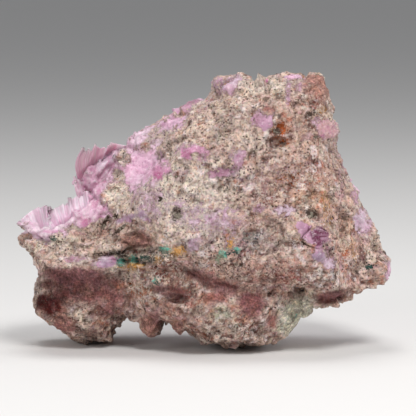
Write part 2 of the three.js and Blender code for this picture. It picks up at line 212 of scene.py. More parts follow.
def layered(places, length, seed, layers=3):
    """Noise in layers, each half as long and about half as strong as the last."""
    total = sum(drift(places, length / 2**n, seed + n) * 0.55**n for n in range(layers))
    return total / sum(0.55**n for n in range(layers))


def broken(places, size, seed):
    """Flat facets about size across: how high each place lies on its facet, about -0.5 to 0.5 of size.

    Also gives how far each place is from its facet's middle, as a share of size."""
    grid = places / size
    corner = np.floor(grid)
    nearest = np.full(len(places), 9.0)
    height = np.zeros(len(places))
    for step in itertools.product((-1, 0, 1), repeat=3):
        cell = corner + step
        chance = np.column_stack([hashed(cell, seed + n) for n in range(3)])
        slope = np.column_stack([hashed(cell, seed + n + 5) for n in range(4)]) - 0.5
        away = grid - cell - chance
        distance = np.linalg.norm(away, axis=1)
        nearer = distance < nearest
        nearest[nearer] = distance[nearer]
        tilted = np.sum(away * slope[:, :3], axis=1) + 0.3 * slope[:, 3]
        height[nearer] = tilted[nearer]
    return height, nearest


def ease(low, high, values):
    """0 below low and 1 above high, smooth between."""
    share = np.clip((values - low) / (high - low), 0, 1)
    return share * share * (3 - 2 * share)


def front_view(places):
    """Where places lie across and up, in millimetres, as seen from the front and a little above."""
    x, y, z = (places - np.array((0, 0, LOOK_AT.z))).T
    away = EYE_DISTANCE + y * math.cos(EYE_RISE) - z * math.sin(EYE_RISE)
    scale = EYE_DISTANCE / away / MM
    across = (x - LOOK_AT.x) * scale + LOOK_AT.x / MM
    up = (z * math.cos(EYE_RISE) + y * math.sin(EYE_RISE)) * scale + LOOK_AT.z / MM
    return across, up


def seen_at(across, up, y):
    """The place at depth y that front_view puts at (across, up); all in millimetres."""
    rise = up - LOOK_AT.z / MM
    tilt, level = math.sin(EYE_RISE), math.cos(EYE_RISE)
    eye = EYE_DISTANCE / MM
    z = (rise * (eye + y * level) - y * tilt * eye) / (level * eye + rise * tilt)
    away = eye + y * level - z * tilt
    x = (across - LOOK_AT.x / MM) * away / eye + LOOK_AT.x / MM
    return Vector((x, y, z + LOOK_AT.z / MM)) * MM


STRAIGHT = (0, 0)  # in place of the noise that makes a patch's edge ragged


def patch_weight(view, wander, patch, full=0.75, end=1.2):
    """How much of a patch lies at each place: an oval whose edge is as ragged as its size allows."""
    across, up, wide, tall, turn, strength = patch
    turn = math.radians(turn)
    ragged = 0.32 * min(wide, tall, 6)
    u = view[0] - across + ragged * wander[0]
    v = view[1] - up + ragged * wander[1]
    along = (u * math.cos(turn) + v * math.sin(turn)) / wide
    over = (v * math.cos(turn) - u * math.sin(turn)) / tall
    return strength * (1 - ease(full, end, np.hypot(along, over)))


def hollows(piece, reach):
    """How far each vertex lies below its surroundings, in millimetres, below 0 on crests."""
    places = vertex_array(piece, "co")
    pairs = np.zeros(len(piece.data.edges) * 2, int)
    piece.data.edges.foreach_get("vertices", pairs)
    first, second = pairs.reshape(-1, 2).T
    count = np.bincount(pairs, minlength=len(places))[:, None]
    smooth = places.copy()
    for _ in range(reach):
        total = np.zeros_like(smooth)
        for axis in range(3):
            total[:, axis] = np.bincount(first, smooth[second, axis], len(places))
            total[:, axis] += np.bincount(second, smooth[first, axis], len(places))
        smooth = 0.5 * smooth + 0.5 * total / count
    return np.sum((smooth - places) * vertex_array(piece, "normal"), axis=1) / MM


# ---------------------------------------------------------------- colours of the minerals

MINERALS = {
    "cream": srgb(226, 213, 201),
    "tan": srgb(190, 158, 146),
    "sand": srgb(204, 180, 167),
    "grey": srgb(158, 144, 140),
    "brown": srgb(132, 98, 90),
    "brick": srgb(146, 92, 88),
    "maroon": srgb(86, 42, 40),
    "plum": srgb(128, 86, 88),
    "blush": srgb(212, 174, 165),
    "rust": srgb(180, 92, 48),
    "russet": srgb(142, 74, 68),
    "ochre": srgb(206, 152, 90),
    "grey_green": srgb(172, 168, 150),
    "pale_green": srgb(170, 180, 154),
    "teal": srgb(112, 186, 168),
    "bottle": srgb(40, 74, 68),
    "ink": srgb(84, 86, 94),
    # a dark brown-grey for holes, cracks and grains, also used for painted shade in hollows and under the
    # shelf
    "soot": srgb(84, 68, 60),
    "white": srgb(232, 220, 220),
    "wine": srgb(74, 18, 15),
    "umber": srgb(162, 122, 112),
    "heather": srgb(152, 118, 122),
    # the smooth grey-green face low on the right: its own pale colour, painted lighter for the light on it
    # though it faces down
    "slip": srgb(204, 202, 186),
    "dusk": srgb(180, 140, 130),
    "pale_pink": srgb(220, 192, 205),
    "pink": srgb(216, 176, 196),
    "rose": srgb(200, 140, 168),
    "deep_rose": srgb(168, 90, 126),
    "mauve": srgb(172, 128, 146),
    "lilac": srgb(204, 184, 196),
    "violet": srgb(152, 126, 146),
    "frost": srgb(222, 198, 212),
    "orchid": srgb(184, 142, 164),
    "damson": srgb(104, 46, 72),
    "shell": srgb(192, 152, 152),
}
CRISP = {"frost", "orchid", "damson", "shell"}  # single crystals with clear edges
CRYSTALLINE = {"pale_pink", "pink", "rose", "deep_rose", "mauve", "lilac", "violet"} | CRISP
IRON_STAINS = {"brown", "rust", "maroon"}
# Minerals of faces that are smoother than the rest of the rock.
SLICK = {"plum", "maroon", "brick", "wine", "umber", "slip"}

# Patches as seen from the front: mineral, place across and up, half width, half height, turn in degrees
# and strength. Later ones lie over earlier ones.
FACE_PATCHES = [
    # broad tones of the rock
    ("dusk", 34, 62, 13, 30, 18, 0.4),
    ("dusk", 24, 25, 26, 9, -4, 0.55),
    ("dusk", 47, 27, 12, 9, 0, 0.35),
    ("dusk", -8, 14, 24, 10, 0, 0.5),
    ("cream", -4, 45, 15, 9, -10, 0.8),
    ("tan", 20, 46, 9, 6, 0, 0.5),
    ("tan", 32, 40, 5, 8, 0, 0.4),
    ("sand", 6, 76, 13, 9, 15, 0.5),
    ("cream", 18, 85, 8, 3.5, 0, 0.9),
    ("grey_green", 24.5, 83.5, 3.4, 4, 0, 0.45),
    ("umber", 37, 84.6, 5.4, 6, 0, 1),
    ("brown", 34, 84, 1.2, 1.2, 0, 0.5),
    ("dusk", 33, 50, 10, 9, 20, 0.5),
    ("dusk", 14, 7, 15, 6, 0, 0.15),
    ("brick", -5, 12.4, 10, 5, 0, 0.35),
    ("heather", 16, 36, 11, 6, 0, 0.45),
    ("dusk", 43, 24, 10, 6, 10, 0.4),
    ("tan", 31, 75, 8, 8, 0, 0.4),
    ("tan", 33, 57, 9, 12, 20, 0.4),
    ("cream", -6, 53, 17, 7, -10, 0.8),
    ("cream", -24, 47, 10, 5, -25, 0.5),
    ("blush", 42, 34, 12, 9, 20, 0.5),
    ("blush", 24, 24, 12, 5, 0, 0.6),
    ("blush", 49, 24, 9, 5, 10, 0.6),
    ("cream", 52, 27, 5, 4, 10, 0.4),
    ("grey", 17, 35, 7, 5, 0, 0.6),
    ("grey", 9, 73, 6, 4, 20, 0.4),
    ("ochre", 34, 48, 6, 4, 0, 0.25),
    ("ochre", 46, 36, 3, 6, 0, 0.2),
    ("pale_green", -10.5, 56, 3.6, 3, 0, 0.3),
    ("lilac", -9, 44, 12, 5, -10, 0.36),
    ("lilac", 2, 40, 10, 7, 0, 0.34),
    ("lilac", 20, 56, 14, 4, 10, 0.22),
    ("pale_pink", -20, 51.4, 10, 6, -30, 0.42),
    ("pale_pink", 45, 60, 4, 14, 20, 0.28),
    # the left mass of pink crystals and the rim above it
    ("pale_pink", -50, 41, 11, 6, 8, 1),
    ("pale_pink", -40, 46, 7, 7, 30, 1),
    ("pink", -35, 47, 4.5, 9, -25, 0.9),
    ("pink", -33, 42, 4, 4, 0, 0.7),
    ("rose", -33.6, 48.5, 1.8, 4, -20, 0.7),
    ("deep_rose", -37.3, 40, 1.5, 1.8, -20, 0.9),
    ("rose", -48.5, 36.4, 2.4, 1.2, 0, 0.6),
    ("brick", -41.2, 36.8, 1.6, 0.9, 0, 0.6),
    ("grey_green", -42.6, 38.4, 1.8, 0.6, 50, 0.8),
    ("grey_green", -39.8, 38, 2.2, 0.6, -35, 0.8),
    ("pale_pink", -51, 37.5, 4, 2.4, 20, 0.8),
    ("pink", -36.5, 56, 4, 7, -20, 0.9),
    ("rose", -35.6, 60, 8, 7, -30, 1),
    ("mauve", -38, 58, 5, 6, -20, 0.6),
    ("rose", -32, 60.6, 6, 1.6, 40, 0.8),
    ("pale_pink", -31, 59.6, 4.6, 3.2, 45, 1),
    ("pale_pink", -31, 57.2, 7.4, 3.6, 50, 1),
    ("frost", -31.1, 59.3, 4.2, 2.2, 50, 1),
    ("pink", -36.4, 51.8, 2.4, 3.6, -40, 1),
    ("pale_pink", -19.4, 66.4, 8, 5, 42, 0.9),
    ("cream", -14.6, 69, 5, 2.4, 30, 0.5),
    ("pink", -19.5, 59, 7, 5.4, 10, 1),
    ("pink", -23.5, 54, 4, 3.6, 0, 0.9),
    ("pale_pink", -22, 54.5, 3, 2, 0, 0.6),
    ("rose", -14, 56.5, 3.4, 2.4, 20, 0.9),
    ("deep_rose", -14.2, 55, 1.8, 1.4, -30, 0.9),
    ("rose", -25.4, 57.4, 2, 1.4, 0, 0.6),
    ("pink", -9.4, 72.6, 4.4, 2.6, 28, 1),
    ("rose", -7, 75.4, 3.6, 1.2, 25, 0.8),
    ("mauve", -3, 79.4, 5, 1.4, 28, 0.9),
    ("cream", -25.4, 60.8, 2.5, 2.7, 0, 1),
    ("cream", -27.2, 55.4, 2, 1.8, -20, 0.95),
    ("cream", -28, 50, 5, 2.8, 35, 0.9),
    ("grey", -27.4, 56.2, 2, 1.2, 0, 0.7),
    ("blush", -19, 64, 3, 2, 0, 0.5),
    ("brown", -18.4, 64.6, 1.6, 1.6, 0, 0.7),
    # nose tip, shelf and what lies under it
    ("rust", -56, 34.6, 2.4, 2, 0, 0.55),
    ("cream", -54, 32, 4, 2.4, 0, 0.6),
    ("rust", -58, 30, 1.6, 1.6, 0, 0.8),
    ("maroon", -55, 29, 1.2, 2, 0, 0.6),
    ("cream", -45, 34, 6, 2.6, 5, 0.8),
    ("violet", -50, 34.4, 1.4, 1.6, 0, 0.6),
    ("tan", -34, 37, 7, 2.8, 8, 0.9),
    ("cream", -33, 39.6, 4, 1.8, 12, 0.6),
    ("maroon", -42, 33.4, 3, 0.9, 0, 0.5),
    ("umber", -21, 34.4, 5.6, 3, 0, 1),
    ("plum", -18.8, 34.6, 2.6, 2.8, 0, 0.2),
    ("violet", -24, 41.6, 4.4, 1.2, 18, 0.8),
    ("violet", -18.6, 42, 3, 1.2, -40, 0.8),
    # painted shadow: a dark band along the groove under the shelf
    ("soot", -25, 30.4, 10.5, 1.3, 3, 1),
    ("violet", -30.6, 27.4, 4.6, 1.7, 8, 0.95),
    ("lilac", -31, 28.8, 2.2, 1, 0, 0.7),
    ("mauve", -41, 28.8, 3.6, 1.2, 0, 0.6),
    ("cream", -25.6, 24, 7, 2.4, 0, 0.6),
    # pink, lilac and mauve crystals that show in the face
    ("rose", -3.4, 62.2, 5.4, 2.6, -20, 0.8),
    ("deep_rose", -5.4, 62.2, 1.4, 1.6, -50, 0.6),
    ("cream", -2.4, 61.8, 1.6, 1.2, 0, 0.6),
    ("rose", -1, 64, 4, 0.9, -25, 0.7),
    ("mauve", 11.6, 60.6, 1.6, 3.2, -15, 0.8),
    ("mauve", 6, 56.2, 5.8, 1.6, 8, 0.95),
    ("white", 4, 53.8, 3.4, 1.4, 0, 0.8),
    ("lilac", 9, 62, 3, 2.4, 0, 0.4),
    ("mauve", 18, 73.2, 2, 3, -25, 0.8),
    ("orchid", 20.2, 72, 2.6, 1.9, 45, 0.9),
    ("pink", 21.4, 73.6, 1.6, 1.2, 45, 0.8),
    ("brick", 21.2, 76.6, 2.4, 1.1, 0, 0.8),
    ("blush", 21.4, 75.4, 1.2, 0.7, 0, 0.8),
    ("mauve", 27.2, 82.6, 0.9, 4.6, 0, 0.7),
    ("pink", 29, 87.4, 3.4, 1.2, 0, 0.9),
    ("mauve", 30.8, 84, 1.4, 1.8, 0, 0.6),
    ("pale_pink", 7.6, 85.4, 4.6, 3.8, 20, 0.9),
    ("mauve", 7, 85.4, 4.4, 3.6, 20, 0.5),
    ("lilac", 10, 86.4, 2.6, 1.6, 0, 0.6),
    ("violet", 4.8, 84.2, 2, 3, 0, 0.7),
    ("shell", 39.8, 70.2, 3.3, 2.9, 0, 1),
    ("deep_rose", 38.2, 67.8, 0.8, 0.6, 0, 0.8),
    ("pink", 36.4, 72.6, 1.6, 1.4, 0, 0.6),
    ("rose", 49.2, 48.6, 1.8, 3, 15, 0.6),
    ("lilac", 51.4, 41, 3.2, 4.2, -20, 0.95),
    ("pink", 52.4, 38.6, 1.8, 2.6, -20, 0.6),
    ("pink", 59.4, 24.6, 1.6, 3.4, 0, 0.9),
    ("lilac", 26, 44.4, 3.8, 1.6, 0, 0.85),
    ("mauve", 18.4, 45, 3.4, 1.4, 20, 0.5),
    ("heather", 17.4, 52, 4, 4, 0, 0.8),
    ("heather", 35.4, 59.4, 2.8, 2.2, 0, 0.7),
    ("lilac", 7, 41, 5, 5, 0, 0.4),
    ("white", -3.6, 34.4, 3.6, 2.8, 30, 0.8),
    ("lilac", -3, 33.4, 2.4, 1.8, 30, 0.7),
    ("mauve", 38.6, 32.2, 3.4, 2.8, -40, 0.8),
    ("heather", 39.8, 31.6, 2, 2, 0, 0.6),
    ("violet", 37, 29.2, 3, 1.9, -20, 1),
    ("lilac", 40.2, 27.2, 2.4, 2, -30, 0.9),
    ("orchid", 33.6, 36.6, 5.4, 1.9, -42, 1),
    ("damson", 37.2, 36.4, 3.5, 2.6, -18, 1),
    # the band below the plate and the lobes
    ("dusk", 26, 23.5, 14, 4.4, 0, 0.8),
    ("maroon", 22, 21.6, 3.4, 1.2, 0, 0.4),
    ("cream", -25.6, 24, 7, 2.4, 0, 0.6),
    ("cream", -21, 18, 4.4, 2.8, 0, 0.8),
    ("rust", -22, 17, 2.6, 1.4, 0, 0.55),
    ("rust", -27, 20.6, 2.2, 1.6, 0, 0.6),
    ("brown", -16, 26, 6, 2, -20, 0.5),
    # painted shade: the cleft filled here is painted dark plum and maroon
    ("plum", -10.6, 18, 7, 2.4, -12, 0.9),
    ("maroon", -8, 18.6, 3.4, 1, -12, 0.8),
    ("grey", -22.6, 10.4, 2.6, 2.2, 0, 0.7),
    ("umber", -17, 7, 3.4, 4.4, 0, 1),
    ("plum", -15, 9.4, 1.6, 3, 20, 0.8),
    ("umber", -8.4, 6, 2.8, 3, 0, 0.9),
    ("cream", -3, 13.4, 5, 2, -8, 0.5),
    # painted shade: the filled diagonal groove under the plate, its reddish stone painted darker plum and
    # maroon
    ("plum", 3, 21.4, 11, 2.8, -20, 0.9),
    ("maroon", -0.5, 23, 7, 1, -24, 0.5),
    ("maroon", 8, 20.2, 4.4, 0.9, -12, 0.8),
    ("brick", 4, 16.6, 4.4, 1.9, 0, 0.9),
    ("cream", 6, 9, 7, 4, 0, 0.5),
    ("cream", 11, 4, 9, 3, 0, 0.6),
    ("plum", 15.4, 14.4, 5, 4.2, 25, 1),
    ("brick", 16.4, 15.4, 3, 2.2, 25, 0.5),
    ("pale_green", 6, 11.4, 3, 2.4, 0, 0.75),
    ("brick", 22.9, 8.3, 3, 2.1, 0, 0.9),
    ("bottle", 12.5, 7.6, 4.2, 0.8, 12, 0.6),
    # the smooth face low on the right, painted lighter for the light on it
    ("slip", 30.4, 12.4, 6.4, 5.2, 40, 1),
    ("slip", 26.8, 7.2, 3, 4, 30, 1),
    ("maroon", 40.8, 16.2, 5.8, 2.2, 12, 1),
    ("plum", 40, 17, 5, 1.2, 8, 0.7),
    # the left lobe: reddish brown stone, painted darker as well with the shade it lies in as it faces down
    ("plum", -36, 16.5, 13, 6.4, 0, 0.95),
    ("brick", -34, 14.6, 6, 3.4, 20, 0.7),
    ("brick", -41, 20, 5, 2, -10, 0.5),
    ("brick", -44, 8, 4, 4, -35, 0.9),
    ("umber", -37.6, 18.4, 2.6, 2.2, 0, 0.7),
    ("umber", -43.4, 13.4, 3.4, 2, 0, 0.6),
    # painted shadow: a dark plum band along the lobe's top, under the shelf
    ("plum", -40.6, 23, 13, 3.8, -3, 1),
    ("wine", -49.4, 13.8, 4.6, 4.4, 0, 1),
    ("wine", -49.6, 20.4, 3.6, 1.8, 0, 0.8),
    ("maroon", -46, 17, 4, 2.4, 0, 0.7),
    ("maroon", -42, 19, 5, 2, -10, 0.6),
    ("tan", -37, 9.8, 7, 4.2, -20, 0.9),
    ("grey_green", -38, 10.4, 4, 2, -20, 0.4),
    ("blush", -33, 14.6, 3, 2, 0, 0.4),
    ("rust", -31, 9, 2.4, 1.9, 0, 0.7),
    ("maroon", -36.5, 5, 3.4, 1.6, 0, 0.75),
    ("plum", -30.5, 12.6, 2.6, 2, 30, 0.7),
]

# Small bright or dark details that lie over everything else, in the same form.
FACE_DETAILS = [
    ("teal", 29.8, 10.4, 0.7, 2.6, -35, 0.55),
    ("teal", 31.6, 9.6, 0.5, 2, -35, 0.5),
    ("pale_green", -8, 56, 3, 2, 0, 0.4),
    ("bottle", -48, 35, 1.3, 1.5, 0, 0.8),
    ("soot", -31, 40.6, 0.7, 2.6, -30, 1),
    ("soot", -28, 42.4, 1.2, 0.7, 20, 0.8),
    ("soot", -26.6, 38, 3, 0.6, 40, 0.9),
    # painted shadow along the groove under the shelf
    ("soot", -25.6, 30.5, 9.4, 0.9, 3, 0.7),
    # iron stains, copper minerals and dark holes
    ("russet", 26, 22.6, 12, 3.4, 0, 0.62),
    ("russet", 10, 26, 9, 4, -20, 0.6),
    ("russet", -12, 24, 10, 5, -20, 0.65),
    ("russet", 14, 5, 16, 5, 0, 0.5),
    ("rust", -22, 19, 7, 3.4, -20, 0.55),
    ("russet", -6, 16, 8, 4, -10, 0.55),
    ("rust", 45.6, 29.6, 1.6, 4.4, 10, 0.6),
    ("ochre", 48.4, 31, 1.4, 4, 10, 0.6),
    ("rust", 29, 33.8, 3.6, 1.6, 0, 0.6),
    ("rust", 27, 54, 6, 3, 0, 0.55),
    ("russet", 20, 48, 5, 3, 0, 0.55),
    ("russet", 37, 78, 3, 5, 0, 0.6),
    ("rust", 24.4, 70, 3, 2.6, 0, 0.95),
    ("soot", 23.6, 69.4, 1.1, 1, 0, 0.8),
    ("rust", 26, 66, 2, 1.6, 0, 0.85),
    ("soot", 25.6, 65.6, 0.8, 0.5, 0, 0.8),
    ("rust", 30, 50, 4.4, 2.4, -10, 0.5),
    ("rust", 38, 53.6, 3.6, 1.2, 0, 0.4),
    ("rust", 34, 56, 8, 7, 0, 0.45),
    ("ochre", 39.6, 45, 2, 9, 4, 0.62),
    ("maroon", 8, 24, 14, 5, -10, 0.45),
    ("ochre", 39, 76.2, 1.8, 1.2, 0, 0.6),
    ("soot", 34.6, 75, 1.8, 1, 0, 0.7),
    ("soot", 34.6, 43.4, 1.5, 1.9, 15, 0.9),
    ("brown", 27.8, 33.4, 3.6, 1.1, 0, 0.75),
    ("ink", 15, 35.4, 3.6, 2.6, 0, 0.5),
    ("soot", 36, 67.6, 0.9, 1.2, 0, 0.7),
    ("bottle", 24, 85, 1.8, 1.4, 0, 0.5),
    ("ochre", 8.8, 33.6, 1.3, 2.6, -15, 0.85),
    ("teal", 6, 30.4, 1.6, 1.7, 20, 1),
    ("pale_green", 5, 28.8, 1.4, 1.3, 0, 0.9),
    ("teal", 11, 31.4, 1.3, 1.3, 0, 1),
    ("bottle", 9.2, 30.6, 1.6, 0.8, 0, 0.8),
    ("ochre", -21.4, 26.4, 3.6, 1.6, 0, 1),
    ("ochre", -26, 26.4, 2, 0.9, 0, 0.9),
    ("ochre", -8, 31.2, 3.4, 1.8, 10, 0.95),
    ("ochre", -15, 28.6, 2, 1.2, 0, 0.9),
    ("bottle", -25, 28.6, 4, 1, 0, 0.5),
    ("teal", -26.4, 27.8, 1.6, 1.1, 0, 1),
    ("teal", -22.2, 28.6, 1.5, 1, 0, 1),
    ("bottle", -18.4, 28.6, 2.4, 1.2, 0, 0.9),
    ("teal", -12.6, 31.8, 1.5, 1.5, 0, 1),
    ("bottle", -12.4, 30, 2, 1, -30, 0.7),
    ("teal", -15.4, 21.4, 1.4, 1.2, 0, 0.85),
    ("bottle", -14.6, 20.6, 1.1, 0.9, 0, 0.7),
    ("ink", 30.6, 18.8, 1.7, 1.1, 0, 0.8),
    ("bottle", 53.2, 26, 1.4, 0.9, -30, 1),
    ("soot", -8.4, 43, 1.8, 2.4, -20, 0.7),
    ("soot", -13.6, 47.8, 0.8, 0.8, 0, 1),
]

HOLES = {"soot", "ink"}  # details that lie whole, where others lie in grains
GRAINY = 0.78  # how densely the grains of a stain lie in its middle

# Where a patch starts and ends to fade, as shares of the way from its middle to its edge.
CRISP_FADE = (0.85, 1.1)
CRYSTAL_FADE = (0.45, 1.45)
STONE_FADE = (0.6, 1.3)
DETAIL_FADE = (0.3, 1.9)

# Streaks in the crystals of the spray over the nose and of the blade fan: the place they run out from, as
# seen from the front, and their reach.
STREAKED = [((-36, 37), 22), ((-34.6, 52), 13)]

# Where crystals show from behind as well: the blade fan and the crest of the nose, as patches.
CALCITE_ALL_ROUND = [(-34, 60, 10, 8, 0, 1), (-48, 44.6, 13, 5, 10, 1)]

# Small dark, rusty and pale grains all over the rock: mineral, size, how rare and how strong.
FLECKS = [
    ("grey", 3.6, 0.25, 0.3),
    ("brown", 2.2, 0.45, 0.45),
    ("mauve", 2.6, 0.5, 0.4),
    ("rust", 1.5, 0.6, 0.5),
    ("maroon", 1.5, 0.5, 0.75),
    ("cream", 1.8, 0.3, 0.5),
    ("soot", 1.2, 0.6, 0.8),
    ("white", 1.4, 0.5, 0.7),
]


def blend_to(colours, mineral, weight):
    """Turns rows of colours towards a mineral's, each by its own weight."""
    colours += (np.array(MINERALS[mineral]) - colours) * weight[:, None]


def add_flecks(places, colours, slick):
    """Lays the flecks, each kind in clusters, over colours: more rusty ones low down, few on slick faces."""
    low = 0.35 * ease(-32 * MM, -12 * MM, -places[:, 2])
    for seed, (mineral, size, rarity, strength) in enumerate(FLECKS, 60):
        clusters = 0.4 * drift(places, 7 * MM, seed + 20) + low * (mineral in IRON_STAINS)
        spots = ease(rarity, rarity + 0.14, drift(places, size * MM, seed) + clusters)
        blend_to(colours, mineral, spots * strength * (1 - 0.95 * slick))


def depth_at(across, up):
    """How deep the specimen's face lies at a place as seen from the front, in millimetres."""
    away = np.hypot(whole_form.view[0] - across, whole_form.view[1] - up)
    near = whole_form.depths[away < max(2, away.min() + 0.5)]
    return near[near < near.min() + 8].mean()


def level_with(places, patch, ragged):
    """1 where places are about as deep as the face at a patch, 0 well in front of it or behind it.

    It keeps a patch of the face from a long trail where the rock turns away from the front."""
    across, up, wide, tall = patch[:4]
    reach = 1.3 * max(wide, tall) + 5
    off = np.abs(places[:, 1] / MM - depth_at(across, up)) + 3 * ragged
    return 1 - ease(0.6 * reach, 1.5 * reach, off)


def streaks_from(places, root, reach):
    """Streaks from -1 to 1 that run out from a root, as seen from the front, and 1 within their reach."""
    across, up = front_view(places)
    away = np.hypot(across - root[0], up - root[1])
    turned = np.arctan2(up - root[1], across - root[0])
    spread_out = np.column_stack([turned * 14, away * 0.12, places[:, 1] / MM * 0.25])
    return layered(spread_out, 1.1, 88, 2), 1 - ease(0.8 * reach, reach, away)


def surface_look(places, ways, crystal_bed):
    """What a skin stores at each place: the colours of the rock, of the calcite and of the stains and painted
    shadow on them, the shares of calcite and of stain, and how slick the rock is."""
    view = front_view(places)
    wander = []
    for seed in (21, 42):
        wander.append(0.8 * drift(places, 4.5 * MM, seed) + layered(places, 1.6 * MM, seed + 1, 2))
    angular = [3.4 * broken(places, 2.6 * MM, seed)[0] + 0.3 * wander[0] for seed in (47, 52)]
    front = ease(-0.55, -0.15, -ways[:, 1]) * ease(-18 * MM, -9 * MM, -places[:, 1])
    for patch in CALCITE_ALL_ROUND:
        front = np.maximum(front, patch_weight(view, wander, patch))
    stone = np.tile(MINERALS["sand"], (len(places), 1))
    blend_to(stone, "cream", 0.8 * ease(-0.45, 0.45, layered(places, 12 * MM, 3)))
    blend_to(stone, "blush", 0.5 * ease(-0.4, 0.4, layered(places, 4 * MM, 8)))
    gem = np.tile(MINERALS["pink"], (len(places), 1))
    blend_to(gem, "pale_pink", ease(-0.3, 0.5, layered(places, 6 * MM, 5)))
    share = np.zeros(len(places))
    slick = np.zeros(len(places))
    for mineral, *patch in FACE_PATCHES:
        crystalline = mineral in CRYSTALLINE
        fade = CRISP_FADE if mineral in CRISP else CRYSTAL_FADE if crystalline else STONE_FADE
        weight = patch_weight(view, angular if crystalline else wander, patch, *fade) * front
        weight *= level_with(places, patch, wander[0])
        if crystalline:
            blend_to(gem, mineral, weight)
            share += (1 - share) * weight
        else:
            blend_to(stone, mineral, weight)
            share -= share * weight
            slick += ((mineral in SLICK) - slick) * weight
    share += 1.8 * layered(places, 1.9 * MM, 16, 2) * share * (1 - share)
    add_flecks(places, stone, slick)
    if crystal_bed:
        edge = 5 * MM + 6 * MM * ease(68 * MM, 84 * MM, places[:, 2])
        behind = ease(0.0, 5 * MM, places[:, 1] - edge + 3 * MM * layered(places, 6 * MM, 15))
        share += (1 - share) * behind
    for root, reach in STREAKED:
        streaks, near = streaks_from(places, root, reach)
        blend_to(gem, "white", 0.5 * ease(0.15, 0.5, streaks) * near)
        blend_to(gem, "rose", 0.6 * ease(0.1, 0.5, -streaks) * near)
    stain = np.tile(MINERALS["soot"], (len(places), 1))
    stained = np.zeros(len(places))
    for mineral, *patch in FACE_DETAILS:
        weight = patch_weight(view, wander, patch, *DETAIL_FADE) * front
        weight *= level_with(places, patch, wander[0])
        blend_to(stain, mineral, ease(0.05, 0.35, weight))
        weight *= 1 if mineral in HOLES else GRAINY
        stained = np.maximum(stained, weight)
    return {"tint": stone, "gem": gem, "stain": stain, "calcite": share, "stained": stained, "slick": slick}


# ---------------------------------------------------------------- materials

CALCITE_SCATTER = (1.0, 0.6, 0.8)  # how far red, green and blue light scatter in calcite, set against red
CALCITE_IOR = 1.55


class Nodes:
    """A short way to write a node material."""

    def __init__(self, name):
        self.material = bpy.data.materials.new(name)
        self.material.use_nodes = True
        self.tree = self.material.node_tree
        self.shader = self.tree.nodes["Principled BSDF"]

    def add(self, kind, inputs=None, **settings):
        node = self.tree.nodes.new(kind)
        for key, value in settings.items():
            setattr(node, key, value)
        for key, value in (inputs or {}).items():
            self.put(node.inputs[key], value)
        return node

    def put(self, socket, value):
        if isinstance(value, bpy.types.NodeSocket):
            self.tree.links.new(value, socket)
        else:
            socket.default_value = value

    def shade(self, **values):
        for key, value in values.items():
            self.put(self.shader.inputs[key.replace("_", " ")], value)

    def places(self):
        return self.add("ShaderNodeTexCoord").outputs["Object"]

    def stored(self, name, output="Fac"):
        return self.add("ShaderNodeAttribute", attribute_name=name).outputs[output]

    def noise(self, size, detail=3.0, roughness=0.55):
        """Noise from 0 to 1, its features about size across."""
        inputs = {"Vector": self.places(), "Scale": 1 / size, "Detail": detail, "Roughness": roughness}
        return self.add("ShaderNodeTexNoise", inputs).outputs["Fac"]

    def grains(self, size):
        """Cells about size across: how far places are from them, and three random numbers for each."""
        cells = self.add("ShaderNodeTexVoronoi", {"Vector": self.places(), "Scale": 1 / size})
        parts = self.add("ShaderNodeSeparateColor", {"Color": cells.outputs["Color"]})
        return cells.outputs["Distance"], parts.outputs[0], parts.outputs[1], parts.outputs[2]

    def specks(self, size, share, radius, strength):
        """Round grains in a share of the cells of a size: strength inside them, 0 outside."""
        away, chance, _, _ = self.grains(size)
        inside = self.span(away, radius, 0.6 * radius, 0.0, strength)
        return self.times(inside, self.span(chance, 1 - share, 1.02 - share))

    def cracks(self, size, width):
        """1 along wandering thin cracks between blocks about size across."""
        push = self.add("ShaderNodeTexNoise", {"Vector": self.places(), "Scale": 2.5 / size, "Detail": 3.0})
        inputs = {0: push.outputs["Color"], 1: (0.7 * size, 0.7 * size, 0.7 * size), 2: self.places()}
        where = self.add("ShaderNodeVectorMath", inputs, operation="MULTIPLY_ADD").outputs[0]
        inputs = {"Vector": where, "Scale": 1 / size}
        edge = self.add("ShaderNodeTexVoronoi", inputs, feature="DISTANCE_TO_EDGE").outputs["Distance"]
        return self.span(edge, width / size, 0.5 * width / size)

    def span(self, value, low, high, to_low=0.0, to_high=1.0):
        """Spreads a value's range low to high over another."""
        inputs = {"Value": value, "From Min": low, "From Max": high, "To Min": to_low, "To Max": to_high}
        return self.add("ShaderNodeMapRange", inputs).outputs["Result"]

    def maths(self, kind, first, second):
        return self.add("ShaderNodeMath", {0: first, 1: second}, operation=kind).outputs[0]

    def times(self, first, second):
        return self.maths("MULTIPLY", first, second)

    def rim(self, share, near, far, strength):
        """Strength where a share passes a half, and 0 away from there."""
        off = self.maths("ABSOLUTE", self.maths("SUBTRACT", share, 0.5), 0.0)
        return self.span(off, near, far, strength, 0.0)

    def mix(self, kind, share, first, second):
        node = self.add("ShaderNodeMix", data_type="RGBA", blend_type=kind)
        self.put(node.inputs["Factor"], share)
        self.put(node.inputs[6], first)
        self.put(node.inputs[7], second)
        return node.outputs[2]

    def lay(self, share, under, colour):
        """A display colour laid over what is under it, by a share."""
        return self.mix("MIX", share, under, (*srgb(*colour), 1))

    def bump(self, height, strength, distance):
        inputs = {"Height": height, "Strength": strength, "Distance": distance}
        return self.add("ShaderNodeBump", inputs).outputs["Normal"]


